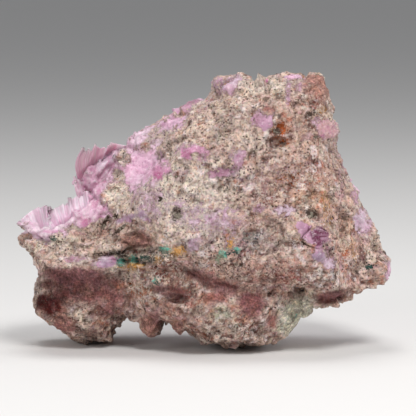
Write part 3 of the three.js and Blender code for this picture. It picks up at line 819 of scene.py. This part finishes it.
def stone_colour(made, slick, chance):
    """The rock's colour and how deep its pits are. Slick faces are mottled and scratched, with faint pits."""
    stone = made.stored("tint", "Color")
    patterns = (
        (1.0, made.span(made.noise(2.4 * MM, 8.0, 0.85), 0.34, 0.52, 0.55, 1.06)),
        (1.0, made.span(chance, 0.0, 0.6, 0.68, 1.08)),
        (1.0, made.span(made.noise(5 * MM, 4.0, 0.7), 0.36, 0.52, 0.76, 1.03)),
        (slick, made.span(made.noise(3 * MM, 8.0, 0.9), 0.4, 0.6, 0.5, 1.6)),
        (slick, made.span(made.noise(0.7 * MM, 4.0, 0.75), 0.36, 0.64, 0.66, 1.34)),
    )
    for share, pattern in patterns:
        stone = made.mix("MULTIPLY", share, stone, pattern)
    redness = made.span(made.noise(1.1 * MM, 5.0, 0.8), 0.38, 0.62)
    yellowness = made.span(made.noise(1.7 * MM, 6.0, 0.8), 0.4, 0.6)
    hues = (
        (redness, (1.09, 0.94, 0.95, 1), (0.95, 1.04, 0.99, 1)),
        (yellowness, (1.0, 0.99, 1.07, 1), (1.03, 1.0, 0.89, 1)),
    )
    for share, first, second in hues:
        stone = made.mix("MULTIPLY", 1.0, stone, made.mix("MIX", share, first, second))

    bare = made.span(slick, 0.0, 1.0, 1.0, 0.15)
    rough = made.span(made.noise(6 * MM, 3.0), 0.4, 0.6, 0.35, 1.1)
    rusty = made.times(made.specks(0.9 * MM, 0.3, 0.4, 0.5), bare)
    stone = made.lay(rusty, stone, (158, 92, 66))
    pale = made.times(made.specks(0.8 * MM, 0.5, 0.42, 0.35), bare)
    dusting = made.times(made.span(made.noise(1.3 * MM, 7.0, 0.85), 0.56, 0.68, 0.0, 0.35), bare)
    stone = made.lay(made.maths("MAXIMUM", pale, dusting), stone, (234, 219, 206))
    shade = made.times(made.span(made.noise(1.5 * MM, 7.0, 0.9), 0.44, 0.33, 0.0, 0.75), rough)
    stone = made.lay(shade, stone, (92, 56, 50))
    dark = made.times(made.specks(1.0 * MM, 0.55, 0.34, 0.85), rough)
    broken_up = made.span(made.noise(3 * MM, 2.0), 0.55, 0.61, 0.0, 0.5)
    lines = made.times(made.cracks(4.0 * MM, 0.2 * MM), broken_up)
    pores = made.times(made.span(made.noise(0.6 * MM, 3.0, 0.65), 0.38, 0.33), rough)
    pits = made.maths("MAXIMUM", pores, made.maths("MAXIMUM", dark, lines))
    return made.lay(made.times(pits, bare), stone, (50, 34, 29)), pits


def calcite_colour(made, shard, chance):
    """The massed calcite's colour: clouded, in shards, with deeper grains and milky flaws."""
    gem = made.stored("gem", "Color")
    cloud = made.span(made.noise(2.4 * MM, 8.0, 0.8), 0.34, 0.66, 0.8, 1.18)
    for pattern in (cloud, made.span(shard, 0.0, 1.0, 0.9, 1.08)):
        gem = made.mix("MULTIPLY", 1.0, gem, pattern)
    gem = made.lay(made.span(chance, 0.8, 0.82, 0.0, 0.2), gem, (196, 124, 170))
    gem = made.lay(made.specks(1.0 * MM, 0.3, 0.36, 0.4), gem, (168, 98, 138))
    flaws = made.span(made.noise(1.1 * MM, 5.0, 0.8), 0.54, 0.68, 0.0, 0.6)
    return made.lay(flaws, gem, (246, 232, 238))


def stained_over(made, colour, shard, chance, crumb):
    """A colour with the stored stains and painted shadow over it, in grains with darker rims."""
    crumbs = made.span(made.noise(0.7 * MM, 4.0, 0.8), 0.32, 0.68, -0.45, 0.45)
    stained = made.span(made.maths("ADD", made.stored("stained"), crumbs), 0.5, 0.62)
    stain = made.mix("MULTIPLY", 1.0, made.stored("stain", "Color"), made.span(shard, 0.0, 1.0, 0.4, 1.25))
    stain = made.lay(made.span(chance, 0.72, 0.74, 0.0, 0.28), stain, (214, 206, 184))
    stain = made.mix("MULTIPLY", 1.0, stain, made.span(crumb, 0.0, 1.0, 0.8, 1.2))
    colour = made.mix("MIX", stained, colour, stain)
    return made.lay(made.rim(stained, 0.1, 0.48, 0.45), colour, (70, 62, 46))


def specimen_finish():
    """Sugary rock with dark pores where the stored calcite share is low, translucent calcite where high."""
    made = Nodes("rock_and_calcite")
    slick = made.stored("slick")
    _, chance, _, crumb = made.grains(0.6 * MM)
    _, shard, shard_chance, _ = made.grains(1.4 * MM)
    ragged = made.span(made.noise(0.9 * MM, 5.0, 0.85), 0.3, 0.7, -0.5, 0.5)
    calcite = made.span(made.maths("ADD", made.stored("calcite"), ragged), 0.3, 0.75)
    stone, pits = stone_colour(made, slick, chance)
    colour = made.mix("MIX", calcite, stone, calcite_colour(made, shard, shard_chance))
    # painted shade: a thin dark line where the calcite meets the rock
    colour = made.lay(made.rim(calcite, 0.1, 0.45, 0.3), colour, (112, 78, 80))
    colour = stained_over(made, colour, shard, shard_chance, crumb)
    smooth = made.maths("MAXIMUM", calcite, made.times(slick, 0.35))
    dullness = made.span(smooth, 0.0, 1.0, 0.88, 0.42)
    grain = made.maths("SUBTRACT", made.noise(0.6 * MM, 4.0, 0.8), pits)
    height = made.times(grain, made.span(smooth, 0.0, 1.0, 1.0, 0.35))
    made.shade(Base_Color=colour, Roughness=dullness, Normal=made.bump(height, 0.9, 0.45 * MM))
    made.shade(Specular_IOR_Level=0.2, Subsurface_Scale=1.2 * MM, Subsurface_Radius=CALCITE_SCATTER)
    made.shade(Subsurface_Weight=made.span(calcite, 0.0, 1.0, 0.0, 0.35))
    return made.material


def crystal_finish():
    """Single crystals: clear to milky pink, striped by growth along and across their length."""
    made = Nodes("striated_calcite")
    tint = made.stored("tint", "Color")
    growth = made.stored("growth", "Vector")
    stretched = made.add("ShaderNodeVectorMath", {0: growth, 1: (2.4, 0.22, 1.0)}, operation="MULTIPLY")
    striae = made.add("ShaderNodeTexNoise", {"Vector": stretched.outputs[0], "Scale": 1.0, "Detail": 3.0})
    veil = made.span(striae.outputs["Fac"], 0.35, 0.65, 0.88, 1.1)
    colour = made.mix("MULTIPLY", 1.0, tint, veil)
    height = made.maths("ADD", striae.outputs["Fac"], made.noise(0.7 * MM, 3.0))
    made.shade(Base_Color=colour, Roughness=0.3, Normal=made.bump(height, 0.25, 0.3 * MM))
    made.shade(Subsurface_Weight=0.5, Subsurface_Scale=2.0 * MM, Subsurface_Radius=CALCITE_SCATTER)
    made.shade(Transmission_Weight=0.1, IOR=CALCITE_IOR)
    return made.material


def wear(piece, material):
    """Gives a piece its one material."""
    piece.data.materials.clear()
    piece.data.materials.append(material)


# ---------------------------------------------------------------- the two skins

# Where the relief keeps low, round the block in its pocket and under the blades, as patches.
CALM = [
    (34.6, 36.6, 7, 6, 0, 0.8),
    (-34, 62, 9, 5, 38, 0.8),
    (-53, 40.6, 6, 4, 15, 0.7),
    (-43.6, 43.6, 7, 4, 35, 0.7),
]
FAN_BED = (-35, 60, 7, 7, 0, 1)  # where the crust makes room for the blade fan, as a patch

# Hollows and swellings of the face as seen from the front: place across and up, half width, half height,
# turn in degrees and depth in millimetres, below 0 for a swelling.
FACE_FORMS = [
    (24.4, 70, 2.8, 2.4, 0, 0.8),
    (26.2, 66, 1.9, 1.2, 0, 0.9),
    (34.6, 43.4, 1.8, 2.2, 15, -0.8),
    (34.6, 75, 1.6, 1, 0, 1),
    (30.6, 18.8, 1.8, 1.3, 0, 0.8),
    (-21, 34.6, 5.6, 3, 0, 1.2),
    (-35, 63, 7.5, 3.6, 34, 1.6),
    (-31, 57, 6.6, 2.7, 50, -2.8),
    (-53.4, 41.4, 5, 3.4, 20, 1),
    (-44, 44.4, 6, 3.2, 35, 1),
    (-25, 30.7, 11.5, 1.4, 3, 2.5),
    (-30.6, 27.4, 5, 1.6, 8, -0.8),
    (37, 29.6, 2.4, 2, 0, -0.7),
    (-54.7, 37.5, 1.7, 1.5, 0, -0.7),
    (-56.8, 34, 1.5, 1.4, 0, -0.7),
    (-31, 40.4, 0.9, 2.6, -30, 1.1),
    (1.4, 23, 12, 1.6, -24, 0.2),
    (27.8, 33.4, 3.4, 1, 0, 0.9),
    (6, 56.2, 5.6, 1.4, 8, 1),
    (15, 35.4, 4, 2.6, 0, 0.9),
    (-8.4, 43, 1.8, 2.4, -20, 0.9),
    (39.6, 70.4, 3.6, 3.2, 0, -1),
    (-25.6, 61, 3.2, 3.2, 0, -0.8),
    (4, 53.8, 3.2, 1.3, 0, -0.7),
    (18.4, 86.4, 1.6, 1.8, 0, -0.8),
    (-3.6, 34.4, 3, 2.4, 30, -0.8),
    (-16, 22, 6, 3, -10, -1),
    (17.4, 52, 3.6, 3.4, 0, -0.8),
]

# Small corrections of the outline as seen from the front: place across and up, half width, half height, turn
# in degrees and how far outwards, in millimetres.
EDGE_FORMS = [
    (-50, 45.2, 9, 2.8, 12, -1.4),
    (-40.4, 49.6, 4, 3.4, 50, -1.2),
    (1.6, 82, 3.6, 3.2, 0, -2.5),
    (-12.4, 75.8, 4, 2, 30, -0.7),
    (-5, 78.6, 6, 2.6, 30, -1),
    (-20.8, 68.6, 5, 2.6, 50, 1),
    (-56, 30.8, 3, 4, 0, -0.9),
    (-49, 8.4, 7, 3.4, -35, 1),
    (-26.6, 5.2, 2.6, 4, 0, -1),
    (-17, 4.6, 3.4, 3, 0, 0.8),
    (-8, 5.4, 2.4, 2.4, 0, 0.7),
    (38, 12.6, 6.4, 2.6, 15, -1.9),
    (46.5, 16.6, 4, 2, 15, -0.8),
    (58, 24.4, 3.6, 5, 0, 3),
    (54, 40.5, 2.4, 4.4, -20, -0.8),
    (-39, 1, 8, 2, 0, -1.2),
    (10, -0.6, 10, 2, 0, -1.2),
    (57.9, 34, 3, 4, 0, -1.8),
    (51.5, 46.5, 2.6, 4, 0, -1),
    (46, 60.3, 3, 8, 20, -0.9),
    (42.2, 76.3, 2.8, 8, 10, -0.8),
    (13, 87.2, 4, 2, 0, 0.4),
    (16.7, 86.2, 0.9, 2, 0, -1.6),
    (20.2, 85.4, 0.9, 2, 0, -1.6),
    (32.5, 87.6, 0.9, 1.8, 0, -1.3),
]


def form_height(places, ways):
    """How far the face's hollows and swellings move each place outwards, in millimetres."""
    view = front_view(places)
    wander = [drift(places, 2.6 * MM, seed) + 0.6 * drift(places, 1.2 * MM, seed) for seed in (23, 24)]
    front = ease(-0.2, 0.3, -ways[:, 1])
    total = np.zeros(len(places))
    for *oval, depth in FACE_FORMS:
        total -= depth * patch_weight(view, wander, (*oval, 1)) * front
    for *oval, rise in EDGE_FORMS:
        total += rise * patch_weight(view, wander, (*oval, 1), 0.5, 1.3)
    return total


def relief_height(places, share, slick):
    """How far the broken surface stands above the CAD solids' form at each place, in millimetres."""
    stone = (1 - 0.85 * share) * (1 - 0.6 * slick)
    wide, _ = broken(places + 2 * MM * layered(places, 9 * MM, 71)[:, None], 12 * MM, 72)
    small, _ = broken(places + 1 * MM * layered(places, 4 * MM, 73)[:, None], 4 * MM, 74)
    height = 3.6 * wide + 1.8 * small * stone
    height += 0.75 * layered(places, 3.4 * MM, 75, 4) * stone
    rough = stone * ease(-0.3, 0.5, drift(places, 9 * MM, 76))
    _, knob = broken(places, 1.7 * MM, 77)
    height += 0.9 * (0.5 - knob) * rough
    height -= 1.0 * ease(0.4, 0.6, drift(places, 1.6 * MM, 78)) * rough
    height += 0.22 * drift(places, 0.8 * MM, 79) * stone
    cleavage, _ = broken(places, 2.4 * MM, 80)
    splinters, _ = broken(places, 1.2 * MM, 81)
    height += (1.5 * cleavage + 0.7 * splinters) * share
    for root, reach in STREAKED:
        streaks, near = streaks_from(places, root, reach)
        height += 0.6 * streaks * share * near
    return height - RELIEF_SUNK


class WholeForm:
    """One smooth skin over both solids: finds the way out and the depth of the face near any place."""

    def __init__(self):
        whole = skin_of("matrix_rock", "whole_form", WHOLE_GRAIN, "calcite_crust")
        finish_modifier(whole, "SMOOTH", factor=0.5, iterations=6)
        self.tree = KDTree(len(whole.data.vertices))
        for index, vertex in enumerate(whole.data.vertices):
            self.tree.insert(vertex.co, index)
        self.tree.balance()
        self.normals = vertex_array(whole, "normal")
        places = vertex_array(whole, "co")
        self.view = front_view(places)
        self.depths = places[:, 1] / MM
        bpy.data.objects.remove(whole)


def ways_out(places):
    """The way out at each place, the same for both skins, so that they move as one."""
    tree = whole_form.tree
    near = np.array([[found[1] for found in tree.find_n(place, 3)] for place in places.tolist()])
    ways = whole_form.normals[near].sum(axis=1)
    return ways / np.linalg.norm(ways, axis=1)[:, None]


def move(piece, steps):
    """Moves each vertex by its own step, but none below what the specimen rests on."""
    places = vertex_array(piece, "co") + steps
    places[:, 2] = np.maximum(places[:, 2], LOWEST)
    piece.data.vertices.foreach_set("co", places.ravel())
    piece.data.update()


def shape_and_colour(piece, crystal_bed):
    """Gives a skin its relief and its colours, with painted shade in its hollows and painted highlights on
    its crests, the same for any skin that passes through the same place.
    """
    places = vertex_array(piece, "co")
    ways = ways_out(places)
    look = surface_look(places, ways, crystal_bed)
    height = relief_height(places, look["calcite"], look["slick"])
    view = front_view(places)
    for patch in CALM:
        height *= 1 - patch_weight(view, STRAIGHT, patch)
    height += form_height(places, ways)
    if crystal_bed:
        bed = BED_DEPTH * (ease(0.1, 0.6, ways[:, 1]) * ease(8 * MM, 12 * MM, places[:, 1]))
        bed += FAN_BED_DEPTH * patch_weight(view, STRAIGHT, FAN_BED) * ease(-1 * MM, 1 * MM, places[:, 1])
        height -= bed
    move(piece, ways * height[:, None] * MM)
    finish_modifier(piece, "SMOOTH", factor=0.4, iterations=1)
    look = surface_look(vertex_array(piece, "co"), ways, crystal_bed)
    # Painted shade: the rock darkens and the calcite turns deeper rose where the surface lies in hollows.
    # Painted highlight: the rock turns paler cream on raised crests.
    deep = ease(0.0, 0.4, hollows(piece, 5))
    raised = ease(0.02, 0.25, -hollows(piece, 3))
    blend_to(look["tint"], "soot", 0.35 * deep)
    blend_to(look["tint"], "cream", 0.3 * raised * (1 - look["slick"]))
    blend_to(look["gem"], "rose", 0.5 * deep)
    store(piece, look)
    wear(piece, rock_and_calcite)
    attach(piece, "root")


def skin(node, name, grain, crystal_bed):
    """The finished surface of one of the two CAD solids."""
    piece = skin_of(node, name, grain)
    finish_modifier(piece, "DISPLACE", strength=SWELL, mid_level=0.0)
    shape_and_colour(piece, crystal_bed)
    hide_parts(node)
    return piece


def surface_of(node):
    """A tree that finds how far places are from a CAD node's surface."""
    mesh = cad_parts[node].data
    return BVHTree.FromPolygons([v.co for v in mesh.vertices], [list(p.vertices) for p in mesh.polygons])


def healed_seam():
    """A strip along the seam, just below both skins, where rock and calcite have grown together."""
    piece = skin_of("matrix_rock", "healed_seam", ROCK_GRAIN, "calcite_crust", HALF_SEAM)
    surfaces = [surface_of(node) for node in ("matrix_rock", "calcite_crust")]
    for vertex in piece.data.vertices:
        vertex.select = any(surface.find_nearest(vertex.co, SEAM_STRIP)[0] is None for surface in surfaces)
    bpy.ops.object.mode_set(mode="EDIT")
    bpy.ops.mesh.select_mode(type="VERT")
    bpy.ops.mesh.delete(type="VERT")
    bpy.ops.object.mode_set(mode="OBJECT")
    shape_and_colour(piece, False)
    finish_modifier(piece, "SOLIDIFY", thickness=STRIP_THICKNESS, offset=-1)


def pocket_crystal():
    """The mauve cleavage block, set a little back in its pocket and grown in along its edges."""
    piece = skin_of("pocket_crystal", "cleaved_block", BLOCK_GRAIN, swell=BLOCK_SWELL)
    places = vertex_array(piece, "co")
    facets, _ = broken(places, 2.6 * MM, 90)
    steps = vertex_array(piece, "normal") * facets[:, None] * BLOCK_STEPS * MM
    move(piece, steps + BLOCK_SET_BACK)
    places = vertex_array(piece, "co")
    look = surface_look(places, ways_out(places), False)
    stripes = ease(-0.2, 0.5, drift(places * np.array((0.2, 1, 1.6)), 0.8 * MM, 91))
    blend_to(look["gem"], "pink", 0.4 * stripes)
    store(piece, look)
    wear(piece, rock_and_calcite)
    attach(piece, "root")
    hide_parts("pocket_crystal")


# ---------------------------------------------------------------- single crystals

def taken_out(name):
    """Takes the active object out of the scene and gives back its mesh, to be copied from."""
    piece = bpy.context.object
    mesh = piece.data
    mesh.name = name
    bpy.data.objects.remove(piece)
    return mesh


def dog_tooth():
    """A dog-tooth crystal one unit long and one across, with a zigzag girdle and an off-centre point."""
    bpy.ops.mesh.primitive_cone_add(vertices=6, radius1=0.3, radius2=0.5, depth=0.3, location=(0, 0, 0))
    mesh = bpy.context.object.data
    mesh.transform(Matrix.Translation((0, 0, 0.15)))
    bpy.ops.object.mode_set(mode="EDIT")
    bpy.ops.mesh.select_mode(type="FACE")
    bpy.ops.mesh.select_all(action="DESELECT")
    bpy.ops.object.mode_set(mode="OBJECT")
    for face in mesh.polygons:
        face.select = face.normal.z > 0.9
    bpy.ops.object.mode_set(mode="EDIT")
    for rise, narrow in ((0.42, 0.5), (0.28, 0.1)):
        bpy.ops.mesh.extrude_region_move(TRANSFORM_OT_translate={"value": (0, 0, rise)})
        bpy.ops.transform.resize(value=(narrow, narrow, 1), center_override=(0.06, 0.04, 0))
    bpy.ops.object.mode_set(mode="OBJECT")
    for vertex in mesh.vertices:
        corner = round(math.atan2(vertex.co.y, vertex.co.x) / math.radians(60))
        if 0.2 < vertex.co.z < 0.4:
            vertex.co.z += 0.08 if corner % 2 else -0.08
    return taken_out("dog_tooth")


def unit_places(mesh):
    return np.array([vertex.co for vertex in mesh.vertices])


def straight(unit, root, tip, width, thickness, face):
    """The places of a unit crystal laid from root to tip with its flat side towards face."""
    along = tip - root
    side = along.cross(face).normalized()
    flat = side.cross(along).normalized()
    rows = np.array((side * width, flat * thickness, along))
    return np.array(root) + unit @ rows


def massed(name, mesh, bodies, roots, tips, seed, finish):
    """One mesh of many copies of a unit crystal, each with its places and its colours at root and tip.

    growth holds, for materials, how far round and along each crystal a point is, in millimetres."""
    unit = unit_places(mesh)
    count = len(bodies)
    share = np.clip(unit[:, 2], 0, 1)
    dice = np.random.RandomState(seed)
    points = np.array(bodies)
    tone = 1 + 0.14 * dice.uniform(-1, 1, size=(count, len(unit), 1)) * (1 - share)[None, :, None]
    colours = np.array(roots)[:, None] * (1 - share)[None, :, None] * tone
    colours = colours + np.array(tips)[:, None] * share[None, :, None]
    centre = points.mean(axis=1)
    size = np.linalg.norm(points - centre[:, None], axis=2).max(axis=1) * 2 / MM
    growth = np.zeros_like(points)
    growth[:, :, 0] = unit[None, :, 0] * size[:, None] * 0.5
    growth[:, :, 1] = unit[None, :, 2] * size[:, None]
    growth[:, :, 2] = np.arange(count)[:, None] * 7.3
    faces = [face.vertices[:] for face in mesh.polygons]
    starts = range(0, count * len(unit), len(unit))
    members = [tuple(corner + start for corner in face) for start in starts for face in faces]
    joined = bpy.data.meshes.new(name)
    joined.from_pydata(points.reshape(-1, 3), [], members)
    piece = bpy.data.objects.new(name, joined)
    bpy.context.collection.objects.link(piece)
    paint(piece, "tint", colours.reshape(-1, 3))
    mark(piece, "growth", "FLOAT_VECTOR", "vector", growth)
    only(piece)
    bpy.ops.object.mode_set(mode="EDIT")
    bpy.ops.mesh.select_all(action="SELECT")
    bpy.ops.mesh.normals_make_consistent(inside=False)
    bpy.ops.object.mode_set(mode="OBJECT")
    wear(piece, finish)
    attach(piece, "root")
    return piece


def spaced(places, spacing, seed, keep):
    """Indexes of places picked at random among those to keep, about one for each cube of the spacing."""
    order = np.random.RandomState(seed).permutation(len(places))
    order = order[keep[order]]
    cells = np.floor(places[order] / spacing).astype(int)
    _, first = np.unique(cells, axis=0, return_index=True)
    return np.sort(order[first])


class Front:
    """What pieces cover as seen from the front, and how near they come, in cells of about a millimetre."""

    CELL = 1.0

    def __init__(self, *pieces):
        self.nearest = {}
        for piece in pieces:
            places = vertex_array(piece, "co")
            across, up = front_view(places)
            for cell_x, cell_z, y in zip(across // self.CELL, up // self.CELL, places[:, 1] / MM):
                if y < self.nearest.get((cell_x, cell_z), math.inf):
                    self.nearest[cell_x, cell_z] = y

    def hides(self, place, margin=4):
        """Whether a place behind the pieces is hidden by them, with a few cells to spare."""
        across, up = front_view(np.array([place]))
        steps = ((0, 0), (-margin, 0), (margin, 0), (0, margin), (0, -margin))
        cell = (across[0] // self.CELL, up[0] // self.CELL)
        return all((cell[0] + x, cell[1] + z) in self.nearest for x, z in steps)


# Blades grown together into ribbed shells. Each row: how far round the shell, its rim there as seen from the
# front, and how far that part stands forward, 1 along the crests of its blades and 0 between them.
FAN = [
    (0.00, (-38.5, 63.9), 0.2), (0.10, (-38.3, 64.2), 1), (0.22, (-37.4, 62.7), 0),
    (0.33, (-36.3, 63.8), 0.9), (0.40, (-35.7, 63), 0.1), (0.52, (-34.6, 65.4), 1),
    (0.64, (-32.8, 63.8), 0), (0.72, (-31.5, 64.4), 0.8), (0.77, (-31, 63.9), 0.2),
    (0.88, (-29.4, 65.8), 1), (0.95, (-27.2, 65.3), 0.4), (1.00, (-24.6, 64.9), 0.6),
]
SIDE_BLADE = [(0.00, (-41.5, 55.2), 0.6), (0.30, (-41.2, 55), 1), (1.00, (-39.2, 53.9), 0)]
NOSE_CREST = [
    (0.00, (-49.9, 40), 0.2), (0.10, (-49.8, 42.4), 0.6), (0.20, (-47.6, 44.8), 0.9),
    (0.27, (-46.9, 45), 0.3), (0.36, (-44.7, 46.3), 1), (0.42, (-44.1, 45.8), 0),
    (0.50, (-43.2, 46.9), 0.6), (0.57, (-42.7, 48.3), 1), (0.63, (-41.8, 47.6), 0),
    (0.74, (-40.4, 48.9), 1), (0.82, (-39.5, 47.8), 0.2), (0.90, (-38.6, 50), 0.9),
    (1.00, (-37.4, 50.4), 0.3),
]
NOSE_TIP = [
    (0.00, (-56.6, 37.4), 0.2), (0.12, (-58.5, 40.8), 0.9), (0.26, (-57.2, 42.1), 0.3),
    (0.36, (-56, 43.1), 0.8), (0.46, (-54.8, 44), 0.3), (0.60, (-52.5, 45.3), 0.9),
    (0.66, (-52.2, 44.9), 0.1), (0.80, (-50.2, 45.9), 1), (0.88, (-49.9, 43.8), 0.4),
    (1.00, (-49.2, 41), 0),
]
FINE_COLUMNS = 10  # faces round a shell for each of its rows
FINE_STEPS = 26  # faces from its feet to its rim


def between(first, second, share):
    """Rows of values from first to second by a share for each row."""
    return np.array(first) + (np.array(second) - np.array(first)) * share[:, None]


def ribbed_shell(name, rows, feet, lean, hidden, forward, ribs, tones):
    """A shell of blades: its two feet, how far its first side bulges, which share of its two ends is hidden
    under the skin, how far forward the rest stands, how strong its ribs are, and the colours of its feet and
    of the two ends of its rim. Lengths are in millimetres."""
    faces = {"x_subdivisions": FINE_COLUMNS * len(rows), "y_subdivisions": FINE_STEPS}
    bpy.ops.mesh.primitive_grid_add(size=1, location=(0, 0, 0), **faces)
    piece = bpy.context.object
    piece.name = name
    unit = vertex_array(piece, "co") + 0.5
    turned, out = unit[:, 0], unit[:, 1]
    steps = np.array([step for step, _, _ in rows])
    foot = between(*feet, steps)
    rim = np.array([place for _, place, _ in rows])
    bend = (foot + rim) / 2
    bend[:, 0] += lean * (1 - steps) ** 1.7
    across, up, depth = np.zeros((3, len(out)))
    for line, share in zip((foot, bend, rim), ((1 - out) ** 2, 2 * out * (1 - out), out**2)):
        across += share * np.interp(turned, steps, line[:, 0])
        up += share * np.interp(turned, steps, line[:, 1])
        depth += share * np.interp(turned, steps, [depth_at(*place) for place in line])
    covered = ease(-0.25, 0.25, hidden[0] + (hidden[1] - hidden[0]) * turned - out)
    depth += (BLADE_DIVE + forward) * covered - forward
    crest = np.interp(turned, steps, [raised for _, _, raised in rows])
    fine = drift(np.column_stack([turned * 2.5 * len(rows), out * 1.5, out * 0]), 1, 24)
    depth -= ribs * (crest - 0.5 + 0.3 * fine) * ease(0.0, 0.5, out)
    places = np.array([seen_at(*place) for place in zip(across.tolist(), up.tolist(), depth.tolist())])
    piece.data.vertices.foreach_set("co", places.ravel())
    piece.data.update()
    tint = between(srgb(*tones[0]), srgb(*tones[1]), turned)
    tint += (between(srgb(*tones[2]), srgb(*tones[3]), turned) - tint) * ease(0.1, 0.8, out)[:, None]
    # painted highlight: white along the rim where the blades' crests stand forward
    blend_to(tint, "white", 0.5 * ease(0.86, 1.0, out) * crest)
    blend_to(tint, "lilac", 0.5 * ease(0.1, 0.6, fine))
    blend_to(tint, "rose", 0.35 * ease(0.1, 0.6, -fine))
    paint(piece, "tint", tint)
    mark(piece, "growth", "FLOAT_VECTOR", "vector", unit * np.array((1.3 * len(rows), 12, 0)))
    finish_modifier(piece, "SOLIDIFY", thickness=BLADE_THICKNESS, offset=-1)
    bpy.ops.object.shade_smooth()
    wear(piece, single_crystal)
    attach(piece, "root")


def blades():
    """The blade fan behind the upper left edge, the blade beside it and the spray over the nose."""
    ribbed_shell("blade_fan", FAN, feet=((-37.4, 51.6), (-31.7, 56.4)), lean=-5.8, hidden=(0.1, 0.72),
                 forward=2.6, ribs=0.6,
                 tones=((192, 144, 162), (170, 98, 128), (196, 166, 174), (204, 156, 172)))
    ribbed_shell("side_blade", SIDE_BLADE, feet=((-39.8, 47.8), (-38.4, 49.6)), lean=-0.8,
                 hidden=(0.15, 0.15), forward=0.6, ribs=0.5,
                 tones=((192, 160, 174), (188, 152, 168), (204, 182, 190), (192, 164, 176)))
    ribbed_shell("nose_crest", NOSE_CREST, feet=((-47.6, 36.8), (-36.2, 43)), lean=0, hidden=(0.2, 0.3),
                 forward=0.6, ribs=0.35,
                 tones=((214, 160, 190), (206, 152, 182), (228, 204, 216), (236, 212, 224)))
    ribbed_shell("nose_tip", NOSE_TIP, feet=((-55.6, 36.4), (-47.6, 36)), lean=0, hidden=(0.15, 0.2),
                 forward=0.6, ribs=0.3,
                 tones=((222, 184, 202), (208, 160, 186), (232, 212, 222), (220, 190, 206)))


# The druse's large and small crystals: their spacing, shortest and longest in millimetres, and seed.
DRUSE_CROPS = [(4.4 * MM, 5.5, 10, 31), (2.8 * MM, 2.5, 5, 38)]


def druse(bed, front):
    """Dog-tooth crystals all over the crust's outer side, in clusters that lean together."""
    mesh = dog_tooth()
    unit = unit_places(mesh)
    places = vertex_array(bed, "co")
    normals = vertex_array(bed, "normal")
    behind = (normals[:, 1] > 0.1) & (places[:, 1] > 8 * MM) & (places[:, 2] < 85 * MM)
    dice = random.Random(32)
    bodies, roots, tips = [], [], []
    furthest = cad_bounds[1][1] + SPARE
    for spacing, shortest, longest, seed in DRUSE_CROPS:
        picked = spaced(places, spacing, seed, behind)
        lean = np.column_stack([drift(places[picked], 11 * MM, seed + n) for n in range(3)])
        bigness = ease(-0.6, 0.6, drift(places[picked], 14 * MM, seed + 5))
        for index, bent, big in zip(picked, lean, bigness):
            normal = Vector(normals[index])
            scatter = Vector([dice.gauss(0, 0.2) for _ in range(3)])
            way = (normal + 0.5 * Vector(bent) + scatter).normalized()
            length = (shortest + (longest - shortest) * big) * dice.uniform(0.75, 1.15) * MM
            root = Vector(places[index]) - normal * ROOTED * MM
            for turned in (0, 0.3, 0.6, 0.9):
                tip = root + way.lerp(Vector((0, 1, 0)), turned).normalized() * length
                if front.hides(tip) and front.hides(root.lerp(tip, 0.4)):
                    break
            else:
                continue
            if tip.y > furthest:
                tip = root + (tip - root) * max(0.4, (furthest - root.y) / (tip.y - root.y))
            face = Vector([dice.gauss(0, 1) for _ in range(3)])
            width = (tip - root).length * dice.uniform(0.5, 0.7)
            bodies.append(straight(unit, root, tip, width, width * dice.uniform(0.6, 1), face))
            roots.append(np.array(MINERALS["rose"]) * dice.uniform(0.95, 1.2))
            tips.append(np.array(MINERALS["pale_pink"]) * dice.uniform(0.9, 1.1))
    piece = massed("back_druse", mesh, bodies, roots, tips, 37, single_crystal)


# ---------------------------------------------------------------- floor, lights and camera

FLOOR_COLOUR = (226, 224, 222)
SKY_COLOUR = (0.9, 0.92, 0.95, 1)
SKY_STRENGTH = 0.3
# Soft lights: name, place in metres, side length in metres and power in watts.
LIGHTS = [
    ("key", (0.2, -0.65, 0.8), 0.3, 6.2),
    ("fill", (-0.7, -0.75, 0.4), 0.4, 2.6),
    ("top", (-0.1, 0.1, 0.9), 0.4, 3),
    ("side", (0.8, -0.1, 0.4), 0.3, 2),
]


def floor():
    """A plain pale floor."""
    made = Nodes("pale_floor")
    made.shade(Base_Color=(*srgb(*FLOOR_COLOUR), 1), Roughness=0.9)
    bpy.ops.mesh.primitive_plane_add(size=6, location=(0, 1, 0))
    piece = bpy.context.object
    piece.name = "studio_floor"
    wear(piece, made.material)


def softbox(name, place, aim, size, power):
    """A square area light at a place, turned towards aim."""
    bpy.ops.object.light_add(type="AREA", location=place)
    light = bpy.context.object
    light.name = name
    light.data.size = size
    light.data.energy = power
    light.rotation_euler = (Vector(aim) - Vector(place)).to_track_quat("-Z", "Y").to_euler()


def lights():
    """Soft lights turned towards the specimen's middle, a dim sky, and colours shown as they are."""
    for name, place, size, power in LIGHTS:
        softbox(name, place, (0, 0, 45 * MM), size, power)
    world = bpy.data.worlds.new("studio")
    world.use_nodes = True
    sky = world.node_tree.nodes["Background"].inputs
    sky["Color"].default_value = SKY_COLOUR
    sky["Strength"].default_value = SKY_STRENGTH
    bpy.context.scene.world = world
    bpy.context.scene.view_settings.view_transform = "Standard"


def camera():
    """A long lens in front of the specimen and a little above it."""
    away = Vector((0, -math.cos(EYE_RISE), math.sin(EYE_RISE))) * EYE_DISTANCE
    bpy.ops.object.camera_add(location=LOOK_AT + away)
    seen = bpy.context.object
    seen.name = "front_camera"
    seen.rotation_euler = (-away).to_track_quat("-Z", "Y").to_euler()
    seen.data.lens = seen.data.sensor_width * EYE_DISTANCE / VIEW_WIDTH
    bpy.context.scene.camera = seen


# ---------------------------------------------------------------- the specimen

# The functions above read these three.
whole_form = WholeForm()
rock_and_calcite = specimen_finish()
single_crystal = crystal_finish()
rock = skin("matrix_rock", "broken_rock", ROCK_GRAIN, False)
crust = skin("calcite_crust", "massed_calcite", CRUST_GRAIN, True)
healed_seam()
pocket_crystal()
front = Front(rock, crust)
blades()
druse(crust, front)
floor()
lights()
camera()
